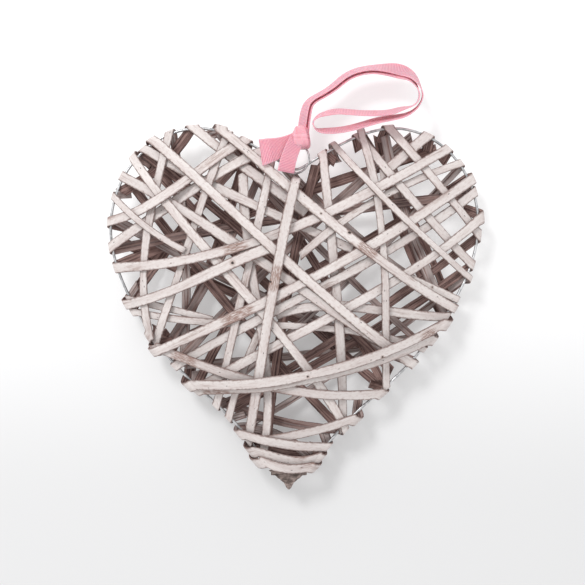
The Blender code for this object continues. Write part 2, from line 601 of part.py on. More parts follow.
class Winding:
    """Lays the laths one after another and keeps what lies where."""

    def __init__(self):
        self.rim = Rim()
        self.front = Side(self.rim, FRONT_RISE)
        self.back = Side(self.rim, BACK_RISE)
        self.reach = np.full(RIM_POINTS, WIRE_RADIUS)
        self.floor = None
        ring = ring_path(self.rim, RING_MARKS)[0]
        for side, sign in ((self.front, 1), (self.back, -1)):
            near = ring[sign * ring[:, 2] > -RING_WIRE_RADIUS]
            np.maximum.at(side.folds, side.cells(near[:, :2]), sign * near[:, 2] + RING_WIRE_RADIUS)

    def fold_reach(self, fold):
        """Widen a fold until it clears the wire and the folds under it."""
        for _ in range(FOLD_ROUNDS):
            under = self.reach[fold.span() % RIM_POINTS].max()
            bare = under + FOLD_CLEARANCE + LATH_THICKNESS / 2
            if bare <= fold.reach:
                break
            fold.reach = bare

    def keep_fold(self, fold):
        """Note the room that a fold takes up."""
        span = fold.span() % RIM_POINTS
        self.reach[span] = np.maximum(self.reach[span], fold.reach + LATH_THICKNESS / 2)
        outward = np.stack([-self.rim.tangent[span][:, 1], self.rim.tangent[span][:, 0]], axis=1)
        for side, height in ((self.front, fold.top), (self.back, fold.bottom)):
            for step in np.arange(*FOLD_ROOM):
                cells = side.cells(self.rim.loop[span] + outward * step)
                np.maximum.at(side.folds, cells, height + LATH_THICKNESS / 2)

    def lay_lath(self, row, foot):
        """Lay one lath and return its rows of stations, from its start to its end."""
        start_clock, depth, end_clock, bow, skew, share, back_end = row[1:]
        half_width = LATH_WIDTH * share / 2
        start = self.rim.point(start_clock, depth)
        end = self.rim.point(end_clock)
        hooked = depth == 0.0
        over = Pass(self.rim, self.front, start, end, bow, skew, half_width, (hooked, True))
        points = over.plan(np.array([0.0, NEAR_END, 1 - NEAR_END, 1.0]))[0]
        leaving = (points[0] - points[1]) / np.linalg.norm(points[0] - points[1])
        arriving = (points[3] - points[2]) / np.linalg.norm(points[3] - points[2])
        first = Fold(self.rim, start, leaving, half_width)
        last = Fold(self.rim, end, arriving, half_width)
        for fold in (first, last) if hooked else (last,):
            self.fold_reach(fold)
        tail = self.lay_tail(first, leaving) if hooked else None
        under = self.lay_return(last, arriving, back_end, half_width, foot)
        for _ in range(LAY_ROUNDS):
            needed = over.settle([first.top if hooked else 0.0, last.top])
            behind = under.settle((last.bottom, self.end_height(under)))[0]
            pairs = [(last, needed[1], behind)]
            if hooked:
                pairs.append((first, needed[0], tail.settle((first.bottom, 0.0))[0]))
            settled = all(fold.top >= top - SETTLED and fold.bottom >= bottom - SETTLED
                          for fold, top, bottom in pairs)
            if settled:
                break
            for fold, top, bottom in pairs:
                fold.top = max(fold.top, top)
                fold.bottom = max(fold.bottom, bottom)
        rows = []
        if hooked:
            rows += self.rows_of(tail, -1)[::-1]
            rows += first.stations(FOLD_STEPS)[::-1]
        rows += self.rows_of(over, 1)
        rows += last.stations(FOLD_STEPS)
        rows += self.rows_of(under, -1)
        over.mark()
        under.mark()
        self.keep_fold(last)
        if hooked:
            tail.mark()
            self.keep_fold(first)
        return self.align(rows)

    def end_height(self, under):
        """Return the height at which a back pass ends."""
        return self.back.dome(under.end) + WIRE_RADIUS + LATH_THICKNESS / 2 + CLEARANCE

    def lay_tail(self, fold, heading):
        """Return the short pass behind the wire where a lath's start is tucked in."""
        place = fold.exit_place()
        inward = fold.exit_heading(heading)
        return Pass(self.rim, self.back, place, place + inward * TAIL_LENGTH, 0, 0,
                    fold.half_width * TAIL_WIDTH_SHARE, (True, False))

    def lay_return(self, fold, heading, back_end, half_width, foot):
        """Return the pass over the back."""
        place = fold.exit_place()
        inward = fold.exit_heading(heading)
        if back_end == TAIL:
            return Pass(self.rim, self.back, place, place + inward * TAIL_LENGTH, 0, 0,
                        half_width, (True, False))
        far = self.rim.point(back_end)
        chord = far - place
        far = place + chord * (1 - RETURN_STOP / np.linalg.norm(chord))
        return Pass(self.rim, self.back, place, far, RETURN_BOW, 0, half_width, (True, False), foot)

    def rows_of(self, stretch, sign):
        """Turn a pass's stations into rows in space."""
        points, across, roll, heights = stretch.stations()
        up = np.array([0.0, 0.0, float(sign)])
        rows = []
        for point, half, rise, height in zip(points, across, roll, heights):
            rows.append((np.array([*point, sign * height]), np.array([*half, sign * rise]), up))
        return rows

    def align(self, rows):
        """Make every row's width vector point to the same edge, and its thickness to the outer face."""
        aligned = [rows[0]]
        for before, after in zip(rows, rows[1:]):
            ahead = after[0] - before[0]
            edge = np.cross(after[2], ahead)
            half = after[1] if edge @ after[1] > 0 else -after[1]
            aligned.append((after[0], half, after[2]))
        ahead = rows[1][0] - rows[0][0]
        half = rows[0][1]
        half = half if np.cross(rows[0][2], ahead) @ half > 0 else -half
        aligned[0] = (rows[0][0], half, rows[0][2])
        return aligned

    def lay_all(self, foot=None):
        """Lay every lath in winding order and return its number and rows. The feet share one level."""
        return [(row[0], self.lay_lath(row, foot if row[0] in FEET else None)) for row in LATHS]


def wound_heart():
    """Wind the heart twice: once to find how deep its back gets, and again with the feet below that."""
    trial = Winding()
    trial.lay_all()
    foot = max(trial.back.passes.max(), trial.back.folds.max()) + LATH_THICKNESS / 2 + CLEARANCE
    winding = Winding()
    laid = winding.lay_all(foot)
    winding.floor = -(foot + LATH_THICKNESS / 2)
    return winding, laid


def wire_heart(rim, material):
    """The wire heart: a round wire bent to the outline and closed on itself."""
    path = resample(rim.loop, WIRE_STATIONS)
    mesh = bpy.data.meshes.new("wire_heart")
    shape = bmesh.new()
    rings = []
    before = np.roll(path, 1, axis=0)
    after = np.roll(path, -1, axis=0)
    for point, a, b in zip(path, before, after):
        tangent = (b - a) / np.linalg.norm(b - a)
        outward = np.array([-tangent[1], tangent[0], 0.0])
        ring = []
        for k in range(WIRE_SIDES):
            angle = 2 * math.pi * k / WIRE_SIDES
            offset = outward * math.cos(angle) + np.array([0, 0, math.sin(angle)])
            ring.append(shape.verts.new(np.array([*point, 0.0]) + WIRE_RADIUS * offset))
        rings.append(ring)
    close_rings(shape, rings)
    shape.to_mesh(mesh)
    shape.free()
    return add_object("wire_heart", mesh, material)


def close_rings(shape, rings):
    """Join rings of vertices in order, and the last to the first."""
    for a, b in zip(rings, rings[1:] + rings[:1]):
        for k in range(len(a)):
            n = (k + 1) % len(a)
            shape.faces.new([a[k], a[n], b[n], b[k]])
    bmesh.ops.recalc_face_normals(shape, faces=shape.faces)


def notch_ring(rim, name, wire_radius, material):
    """The hanging ring, a round wire along its centre line."""
    mesh = bpy.data.meshes.new(name)
    shape = bmesh.new()
    path, outs, axis = ring_path(rim, RING_STATIONS)
    rings = []
    for point, out in zip(path, outs):
        ring = []
        for k in range(RING_SIDES):
            turn = 2 * math.pi * k / RING_SIDES
            ring.append(shape.verts.new(point + wire_radius * (out * math.cos(turn) + axis * math.sin(turn))))
        rings.append(ring)
    close_rings(shape, rings)
    shape.to_mesh(mesh)
    shape.free()
    return add_object(name, mesh, material)


def stadium(half_width, half_height, y):
    """Return a slot shaped section across the tip: two half circles joined by straight sides."""
    straight = max(half_width - half_height, 0.0)
    radius = min(half_height, half_width)
    points = []
    for side in (1, -1):
        for k in range(WRAP_ARC_STEPS):
            angle = math.pi * (k / (WRAP_ARC_STEPS - 1) - 0.5)
            points.append((side * (straight + radius * math.cos(angle)), y, side * radius * math.sin(angle)))
    return points


def tip_wrap(rim, material):
    """The wrap round the tip: a flat cup, open towards the heart, that narrows to a blunt end."""
    low = rim.loop[:, 1].min()
    middle = rim.loop[rim.loop[:, 1].argmin(), 0]
    start = low + WRAP_START
    near = abs(rim.loop[:, 1] - start) < WRAP_MOUTH_BAND
    wire_half = np.ptp(rim.loop[near, 0]) / 2
    room = WIRE_RADIUS + WRAP_PLAY
    floor_y = low - room - WRAP_PLAY
    end = start - WRAP_LENGTH
    inner = [stadium(wire_half + room, room, start), stadium(room * WRAP_BOTTOM_SHARE, room, floor_y)]
    outer = []
    for share in WRAP_SHARES:
        y = start + (end - start) * share
        inside = np.interp(y, [end, floor_y, start], [0.0, room * WRAP_BOTTOM_SHARE, wire_half + room])
        thick = np.interp(y, [end, floor_y, start], [0.0, room, room])
        spare = WRAP_WALL if share < 1 else WRAP_END_HALF_WIDTH
        outer.append(stadium(inside + spare, thick + spare, y))
    mesh = bpy.data.meshes.new("tip_wrap")
    shape = bmesh.new()
    place = np.array([middle, 0.0, 0.0])
    outside = [[shape.verts.new(place + point) for point in ring] for ring in outer]
    inside = [[shape.verts.new(place + point) for point in ring] for ring in inner]
    chain = outside[::-1] + inside
    for a, b in zip(chain, chain[1:]):
        for k in range(len(a)):
            n = (k + 1) % len(a)
            shape.faces.new([a[k], a[n], b[n], b[k]])
    shape.faces.new(chain[0])
    shape.faces.new(chain[-1])
    bmesh.ops.recalc_face_normals(shape, faces=shape.faces)
    shape.to_mesh(mesh)
    shape.free()
    return add_object("tip_wrap", mesh, material)


def knot_mesh():
    """The knot: an egg shape with squared sides."""
    mesh = bpy.data.meshes.new("knot")
    shape = bmesh.new()
    bmesh.ops.create_uvsphere(shape, u_segments=KNOT_SIDES, v_segments=KNOT_RINGS, radius=1.0)
    for vert in shape.verts:
        for axis in range(3):
            value = vert.co[axis]
            squared = math.copysign(abs(value) ** KNOT_SQUARENESS, value)
            vert.co[axis] = squared * KNOT_SIZE[axis] / 2 + KNOT_CENTRE[axis]
    shape.to_mesh(mesh)
    shape.free()
    return mesh


def ribbon(winding, material):
    """The ribbon: loop, knot and tails joined into one piece, with the ring's way left free."""
    tails = tail_rows(winding)
    centre, vector = ribbon_route(winding, RIBBON_STEP)
    out = np.cross(np.gradient(centre, axis=0), vector)
    out /= np.linalg.norm(out, axis=1)[:, None]
    loop = list(zip(centre, vector, out))
    whole = add_object("ribbon", strip_mesh("ribbon", loop, RIBBON_THICKNESS), material)
    helpers = [add_object("knot_helper", knot_mesh(), material)]
    for k, rows in enumerate(tails):
        name = f"tail_helper_{k + 1}"
        helpers.append(add_object(name, strip_mesh(name, rows, RIBBON_THICKNESS), material))
    for helper in helpers:
        join(whole, helper, "UNION")
    join(whole, notch_ring(winding.rim, "ring_way", RING_WIRE_RADIUS + CLEARANCE, material), "DIFFERENCE")
    return whole


def join(whole, helper, operation):
    """Join or cut with a Boolean modifier whose helper is hidden from the render."""
    modifier = whole.modifiers.new(helper.name, "BOOLEAN")
    modifier.operation = operation
    modifier.object = helper
    modifier.solver = "EXACT"
    modifier.use_self = operation == "UNION"
    helper.hide_render = True
    helper.display_type = "WIRE"


def build():
    """Build the whole heart."""
    clear_scene()
    willow = principled("whitewashed_willow", (0.72, 0.66, 0.62), 0.75)
    bark = principled("brown_willow", (0.23, 0.15, 0.12), 0.8)
    steel = principled("galvanised_wire", (0.45, 0.45, 0.46), 0.4, 1.0)
    pink = principled("pink_grosgrain", (0.80, 0.42, 0.48), 0.6)
    winding, laid = wound_heart()
    wire_heart(winding.rim, steel)
    for number, rows in laid:
        name = f"willow_lath_{number:02d}"
        add_object(name, strip_mesh(name, rows, LATH_THICKNESS), willow)
    notch_ring(winding.rim, "hanging_ring", RING_WIRE_RADIUS, steel)
    tip_wrap(winding.rim, bark)
    ribbon(winding, pink)
    stand_on_floor(winding)


def stand_on_floor(winding):
    """Move everything so that the back rests at z = 0 and the box is centred over the origin."""
    corners = np.array([vert.co for thing in bpy.data.objects for vert in thing.data.vertices])
    middle = (corners.min(axis=0) + corners.max(axis=0)) / 2
    shift = Matrix.Translation((-middle[0], -middle[1], -winding.floor))
    for mesh in {thing.data for thing in bpy.data.objects}:
        mesh.transform(shift)


build()
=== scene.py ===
"""Looks of the willow heart: whitewashed split laths over a wire heart, with a ring and a pink ribbon.

Lengths are metres. The heart lies on its back, +Z is up and +Y runs from its tip to its notch.
A place on the rim is a clock angle: degrees clockwise from the notch, seen from the front.
The laths are laid in winding order on a height map, as the solids are, and then shaped finely.
"""
import math

import bpy
import numpy as np
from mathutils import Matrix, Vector


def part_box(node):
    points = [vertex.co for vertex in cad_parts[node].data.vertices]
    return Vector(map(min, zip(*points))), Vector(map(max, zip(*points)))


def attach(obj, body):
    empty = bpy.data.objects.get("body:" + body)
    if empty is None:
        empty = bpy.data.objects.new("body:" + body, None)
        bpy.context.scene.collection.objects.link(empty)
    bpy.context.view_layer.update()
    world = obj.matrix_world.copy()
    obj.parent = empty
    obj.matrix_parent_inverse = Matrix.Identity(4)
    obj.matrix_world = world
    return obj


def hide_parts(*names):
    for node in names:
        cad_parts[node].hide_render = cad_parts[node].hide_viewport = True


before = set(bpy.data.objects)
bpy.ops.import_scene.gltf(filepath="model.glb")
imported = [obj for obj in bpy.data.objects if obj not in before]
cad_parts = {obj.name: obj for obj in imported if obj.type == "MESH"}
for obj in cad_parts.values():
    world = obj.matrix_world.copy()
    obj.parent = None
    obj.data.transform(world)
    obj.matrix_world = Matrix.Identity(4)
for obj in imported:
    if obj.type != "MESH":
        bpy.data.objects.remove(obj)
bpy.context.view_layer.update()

# The wire heart
HEART_HALF_WIDTH = 0.1207
HEART_LEAN = 0.02
WIRE_RADIUS = 0.0009
CORNER_ROUNDING = 0.004
# One half of the outline from the notch to the tip, as shares of the half width
HALF_OUTLINE = [(0.0, 0.707), (0.20, 0.833), (0.547, 0.945), (0.83, 0.82), (1.0, 0.41),
                (0.886, 0.02), (0.576, -0.40), (0.307, -0.65), (0.125, -0.865), (0.0, -0.985)]

# The laths
LATH_WIDTH = 0.0051
LATH_THICKNESS = 0.0010
CLEARANCE = 0.0003
FOLD_CLEARANCE = 0.0006
SETTLED = 1e-6
FRONT_RISE = 0.014
BACK_RISE = 0.006
# How a strip rolls with the dome's slope, and how it shears so that its end lies along the wire
ROLL_GAIN = 1.7
STEEPEST_ROLL = 0.35
ROLL_REACH = 0.020
SHEAR_WIDTHS = 2.35
LEAST_SQUARENESS = 0.45
# The fold round the wire: its drift along the wire, its widening and how it turns inwards
STEEPEST_FOLD = 0.4
LEAST_DRIFT_SQUARENESS = 0.3
WIDEST_FOLD = 1.35
INWARD_TURN = 0.25
FOLD_ROOM = (-0.0015, 0.0035, 0.0005)
# The stretches behind the wire: a short tail, or a return to the far side
TAIL_LENGTH = 0.009
TAIL_WIDTH_SHARE = 0.9
RETURN_BOW = 0.004
RETURN_STOP = 0.004
# Three feet are level in the middle of their back pass
FOOT_LEVEL_SHARE = 0.06
FOOT_EDGE_SHARE = 0.8
FOOT_CURVE = 0.75
# Where the stations of a strip go
STATION_SPACING = 0.019
LARGEST_STEP = 0.0004
MOST_STATIONS = 14
END_STATION_ROOM = 0.6
SLANT_STATIONS = 0.5
SLANT_SHARES = (0.33, 0.66)

# Each row is one lath, in winding order, the lowest on the front first:
# its number, start clock, depth inside the rim, end clock, bow, skew, width share, where the back pass ends.
# A depth of 0 folds the start round the wire. The back end is a clock, or TAIL for a short tail.
TAIL = "tail"
LATHS = [
    (1, 229.8, 0.056, 209.1, -0.0014, 0.0002, 1.0, TAIL),
    (2, 257.4, 0.043, 270.9, -0.0002, -0.0001, 0.95, TAIL),
    (3, 266.4, 0.0, 109.9, 0.0037, -0.0042, 0.95, 335.5),
    (4, 34.6, 0.037, 38.9, 0.0, -0.0001, 1.35, TAIL),
    (5, 339.0, 0.028, 191.0, 0.0044, -0.0041, 1.25, 9.4),
    (6, 48.5, 0.091, 316.0, 0.0024, -0.0006, 1.25, 125.3),
    (7, 8.3, 0.036, 330.4, 0.0003, -0.0004, 1.35, 300.8),
    (8, 348.9, 0.0, 287.2, -0.0017, -0.0006, 1.35, 59.4),
    (9, 11.4, 0.0, 158.1, 0.0016, -0.0005, 1.2, 306.8),
    (10, 234.6, 0.071, 95.6, 0.0053, 0.0027, 1.3, 27.6),
    (11, 58.9, 0.0, 241.4, 0.0033, 0.0025, 1.25, 36.0),
    (12, 8.9, 0.065, 50.3, 0.0065, 0.0001, 1.05, 219.6),
    (13, 29.0, 0.0, 69.8, -0.0003, 0.0, 1.15, 213.2),
    (14, 21.6, 0.0, 78.1, -0.0026, 0.0, 1.15, 211.1),
    (15, 253.9, 0.0, 338.9, -0.0005, -0.0005, 1.1, 132.4),
    (16, 216.5, 0.0, 352.0, -0.0012, 0.0002, 1.1, 249.1),
    (17, 68.1, 0.068, 88.9, 0.0, 0.0, 1.0, TAIL),
    (18, 257.8, 0.0, 323.4, 0.0066, 0.0019, 1.1, 237.2),
    (19, 66.1, 0.0, 227.5, 0.0042, 0.0026, 1.25, 15.1),
    (20, 132.2, 0.0, 22.2, -0.0053, 0.0016, 1.05, 90.8),
    (21, 306.3, 0.0, 117.2, 0.0024, 0.0015, 1.3, 294.8),
    (22, 311.9, 0.0, 157.5, 0.0033, -0.0033, 1.25, 218.8),
    (23, 250.6, 0.0, 137.1, -0.0082, 0.001, 1.3, 314.1),
    (24, 293.9, 0.0, 343.4, -0.0049, -0.0024, 1.3, 246.5),
    (25, 295.4, 0.055, 300.3, 0.0025, 0.0001, 0.95, TAIL),
    (26, 45.3, 0.0, 281.0, 0.0154, -0.002, 1.35, 44.0),
    (27, 250.2, 0.0, 55.6, -0.0066, 0.0004, 1.35, 250.3),
    (28, 339.2, 0.08, 269.5, 0.0016, -0.0012, 1.4, 345.0),
    (29, 319.4, 0.0, 117.4, -0.0032, 0.0015, 1.35, 289.6),
    (30, 337.4, 0.0, 91.8, -0.0054, 0.0016, 1.3, 354.2),
    (31, 15.4, 0.0, 81.5, -0.004, -0.0001, 0.9, 201.6),
    (36, 1.8, 0.006, 197.7, -0.0016, -0.0004, 1.3, TAIL),
    (32, 192.7, 0.009, 153.8, -0.0014, 0.0, 1.2, TAIL),
    (33, 167.3, 0.0, 200.2, 0.0012, 0.0, 1.25, 172.0),
    (34, 193.7, 0.0, 171.2, -0.0024, 0.001, 1.2, 195.8),
    (35, 190.1, 0.0, 174.4, -0.0022, 0.0, 1.15, TAIL),
    (37, 226.7, 0.0, 105.5, -0.0072, 0.0, 1.2, 241.0),
    (38, 230.4, 0.0, 99.0, -0.01, 0.0, 1.3, 26.1),
]
FEET = (28, 37, 38)

# The wrap round the tip, a cup that the wire's point sits in
WRAP_START = 0.0062
WRAP_LENGTH = 0.0125
WRAP_WALL = 0.0011
WRAP_PLAY = 0.0005
WRAP_BOTTOM_SHARE = 1.4
WRAP_MOUTH_BAND = 0.002

# The ring through the notch
RING_RADIUS = 0.0098
RING_WIRE_RADIUS = 0.0007
RING_TILT = math.radians(20)
RING_RISE = 0.0068
RING_SIDEWAYS = 0.0013
RING_MARKS = 200

# The ribbon: a doubled loop on edge, a knot round the ring and two tails
RIBBON_WIDTH = 0.012
RIBBON_THICKNESS = 0.0006
RIBBON_REST_GAP = 0.0020
RIDE_SPREAD = 0.0075
TAIL_START_HEIGHT = 0.0015
TAIL_END_HEIGHT = 0.0025
KNOT_CENTRE = (0.0050, 0.1070, 0.0042)
KNOT_SIZE = (0.0122, 0.0150, 0.0144)
# The outer strand from the knot to where the strands part, then the eye that it turns back in.
# Each place is (x, y, height of its low edge, how far its top leans to the right of the way on).
RIBBON_STRAND = [(0.0056, 0.1109, -0.0050, 0.42), (0.0062, 0.1168, -0.0060, 0.42),
                 (0.0072, 0.1233, -0.0060, 0.42), (0.0098, 0.1309, -0.0060, 0.40),
                 (0.0157, 0.1355, -0.0070, 0.38), (0.0256, 0.1417, -0.0070, 0.38),
                 (0.0341, 0.1486, -0.0070, 0.42), (0.0426, 0.1525, -0.0070, 0.45),
                 (0.0531, 0.1542, -0.0070, 0.50), (0.0623, 0.1542, -0.0070, 0.66),
                 (0.0715, 0.1528, -0.0070, 0.76), (0.0777, 0.1492, -0.0070, 0.62),
                 (0.0820, 0.1427, -0.0050, 0.35), (0.0840, 0.1345, -0.0020, 0.10),
                 (0.0807, 0.1266, 0.0020, -0.10), (0.0735, 0.1210, 0.0045, -0.30)]
RIBBON_EYE = [(0.0705, 0.1246, 0.0045, -0.33), (0.0630, 0.1220, 0.0070, -0.42),
              (0.0554, 0.1210, 0.0090, -0.45), (0.0446, 0.1210, 0.0100, -0.45),
              (0.0354, 0.1217, 0.0100, -0.45), (0.0285, 0.1220, 0.0100, -0.45),
              (0.0213, 0.1207, 0.0100, -0.40), (0.0154, 0.1181, 0.0100, -0.25),
              (0.0130, 0.1141, 0.0100, 0.00), (0.0148, 0.1109, 0.0100, 0.25),
              (0.0203, 0.1096, 0.0100, 0.42), (0.0321, 0.1105, 0.0100, 0.45),
              (0.0446, 0.1135, 0.0100, 0.45), (0.0544, 0.1164, 0.0090, 0.45),
              (0.0643, 0.1184, 0.0075, 0.42)]
# The inner strand lies this far inside the outer one
STRAND_GAP = 0.0022
# A whole lean counts as this length along the route, so that it hardly moves the places
LEAN_LENGTH = 0.001
# The tails, each from inside the knot to its cut end, with its bow and its width shares at both ends.
# The left one is a flattened fold that spreads out.
TAILS = [((0.0035, 0.1075), (-0.0208, 0.0962), 0.002, 0.7, 1.5),
         ((0.0030, 0.1060), (-0.0046, 0.0832), -0.001, 0.8, 0.9)]

# How finely the laths are drawn
LATH_STEP = 0.0018
TURN_STEP = 0.0006
FEWEST_TURN_STEPS = 8

# The height map that the laths are laid on
CELL = 0.001
MAP_SHARE = 1.45
LAY_SAMPLES = 96
SIDE_SAMPLES = 9
FEWEST_MARKS = 24
MARK_STEP = 0.0004
NORMAL_STEPS = 2
NEAR_END = 0.02
RIM_POINTS = 720
SPLINE_POINTS = 400
ROUTE_POINTS = 1200
FOLD_ROUNDS = 4
LAY_ROUNDS = 8


def natural_spline(points, count):
    """Return count points on the natural cubic spline through the points, by chord length."""
    points = np.asarray(points, float)
    along = np.concatenate([[0.0], np.cumsum(np.linalg.norm(np.diff(points, axis=0), axis=1))])
    steps = np.diff(along)
    size = len(points)
    matrix = np.eye(size)
    right = np.zeros_like(points)
    for i in range(1, size - 1):
        matrix[i, i - 1] = steps[i - 1]
        matrix[i, i] = 2 * (steps[i - 1] + steps[i])
        matrix[i, i + 1] = steps[i]
        right[i] = 6 * ((points[i + 1] - points[i]) / steps[i] - (points[i] - points[i - 1]) / steps[i - 1])
    bend = np.linalg.solve(matrix, right)
    where = np.linspace(0, along[-1], count)
    i = np.clip(np.searchsorted(along, where) - 1, 0, size - 2)
    h = steps[i][:, None]
    a = (along[i + 1] - where)[:, None] / h
    b = 1 - a
    curve = (a ** 3 - a) * bend[i] + (b ** 3 - b) * bend[i + 1]
    return a * points[i] + b * points[i + 1] + curve * h ** 2 / 6


def resample(path, count):
    """Return count points evenly spaced along a closed path."""
    closed = np.vstack([path, path[:1]])
    along = np.concatenate([[0.0], np.cumsum(np.linalg.norm(np.diff(closed, axis=0), axis=1))])
    where = np.linspace(0, along[-1], count, endpoint=False)
    return np.stack([np.interp(where, along, closed[:, k]) for k in range(closed.shape[1])], axis=1)


class Rim:
    """The wire heart's centre line, read by clock angle."""

    def __init__(self):
        half = natural_spline(np.array(HALF_OUTLINE) * HEART_HALF_WIDTH, SPLINE_POINTS)
        loop = np.vstack([half, (half[::-1] * [-1, 1])[1:-1]])
        loop[:, 0] += HEART_LEAN * loop[:, 1]
        loop = resample(loop, RIM_POINTS)
        length = np.linalg.norm(np.diff(np.vstack([loop, loop[:1]]), axis=0), axis=1).sum()
        self.step = length / RIM_POINTS
        reach = max(1, round(CORNER_ROUNDING / self.step))
        for _ in range(2):
            loop = sum(np.roll(loop, k, axis=0) for k in range(-reach, reach + 1)) / (2 * reach + 1)
        self.loop = resample(loop, RIM_POINTS)
        self.clock = np.degrees(np.arctan2(self.loop[:, 0], self.loop[:, 1])) % 360
        self.order = np.argsort(self.clock)
        tangent = np.roll(self.loop, -NORMAL_STEPS, axis=0) - np.roll(self.loop, NORMAL_STEPS, axis=0)
        self.tangent = tangent / np.linalg.norm(tangent, axis=1)[:, None]

    def read(self, clock, table):
        """Interpolate a table along the loop at a clock angle."""
        order = self.order
        columns = [np.interp(clock % 360, self.clock[order], table[order, k], period=360) for k in range(2)]
        return np.stack(columns, axis=-1)

    def point(self, clock, depth=0.0):
        """Return the point on the rim at a clock angle, or at a depth inside it."""
        place = self.read(clock, self.loop)
        return place * (1 - depth / np.linalg.norm(place))

    def index(self, point):
        """Return the loop's index nearest to a point."""
        return int(np.argmin(((self.loop - point) ** 2).sum(axis=1)))

    def frame(self, point):
        """Return the wire's own point, its tangent and its outward normal at the nearest place."""
        i = self.index(point)
        tangent = self.tangent[i]
        return self.loop[i], tangent, np.array([-tangent[1], tangent[0]])

    def share(self, points):
        """Return how far out points are: 0 at the heart's centre and 1 on the wire."""
        points = np.asarray(points)
        clock = np.degrees(np.arctan2(points[..., 0], points[..., 1])) % 360
        reach = np.linalg.norm(self.read(clock, self.loop), axis=-1)
        return np.linalg.norm(points, axis=-1) / reach


class Side:
    """One side's height map: the top of what lies in each cell, above the wire's plane."""

    def __init__(self, rim, rise):
        self.half = MAP_SHARE * abs(rim.loop).max()
        count = int(2 * self.half / CELL)
        self.rise = rise
        self.rim = rim
        axis = (np.arange(count) + 0.5) * CELL - self.half
        self.passes = np.full((count, count), -1.0)
        self.folds = np.full((count, count), -1.0)
        spots = np.stack(np.meshgrid(axis, axis), axis=-1)
        dome = self.dome(spots) * ROLL_GAIN
        self.slope_y, self.slope_x = np.gradient(dome, CELL)
        cells = self.cells(rim.loop)
        self.passes[cells] = WIRE_RADIUS

    def dome(self, points):
        """Height of the bare dome: a parabola from the centre to the wire."""
        return self.rise * np.clip(1 - self.rim.share(points) ** 2, 0, 1)

    def cells(self, points):
        """Return the map's rows and columns under points."""
        spots = np.floor((np.asarray(points) + self.half) / CELL).astype(int)
        spots = np.clip(spots, 0, self.passes.shape[0] - 1)
        return spots[..., 1], spots[..., 0]

    def grown(self):
        """Return the map with each cell as high as its highest neighbour."""
        top = np.maximum(self.passes, self.folds)
        grown = top
        for dy in (-1, 0, 1):
            for dx in (-1, 0, 1):
                grown = np.maximum(grown, np.roll(np.roll(top, dy, axis=0), dx, axis=1))
        return grown

    def roll(self, points, across):
        """Return how much the dome rises along the width directions at points."""
        cells = self.cells(points)
        rise = self.slope_x[cells] * across[..., 0] + self.slope_y[cells] * across[..., 1]
        return np.clip(rise, -STEEPEST_ROLL, STEEPEST_ROLL)


def upper_hull(x, z):
    """Return the lowest arch over the points (x, z), read at x, as a strip pulled tight over them lies."""
    hull = []
    for k in range(len(x)):
        while len(hull) >= 2:
            (xa, za), (xb, zb) = hull[-2], hull[-1]
            if (zb - za) * (x[k] - xa) <= (z[k] - za) * (xb - xa):
                hull.pop()
            else:
                break
        hull.append((x[k], z[k]))
    return np.interp(x, [h[0] for h in hull], [h[1] for h in hull])


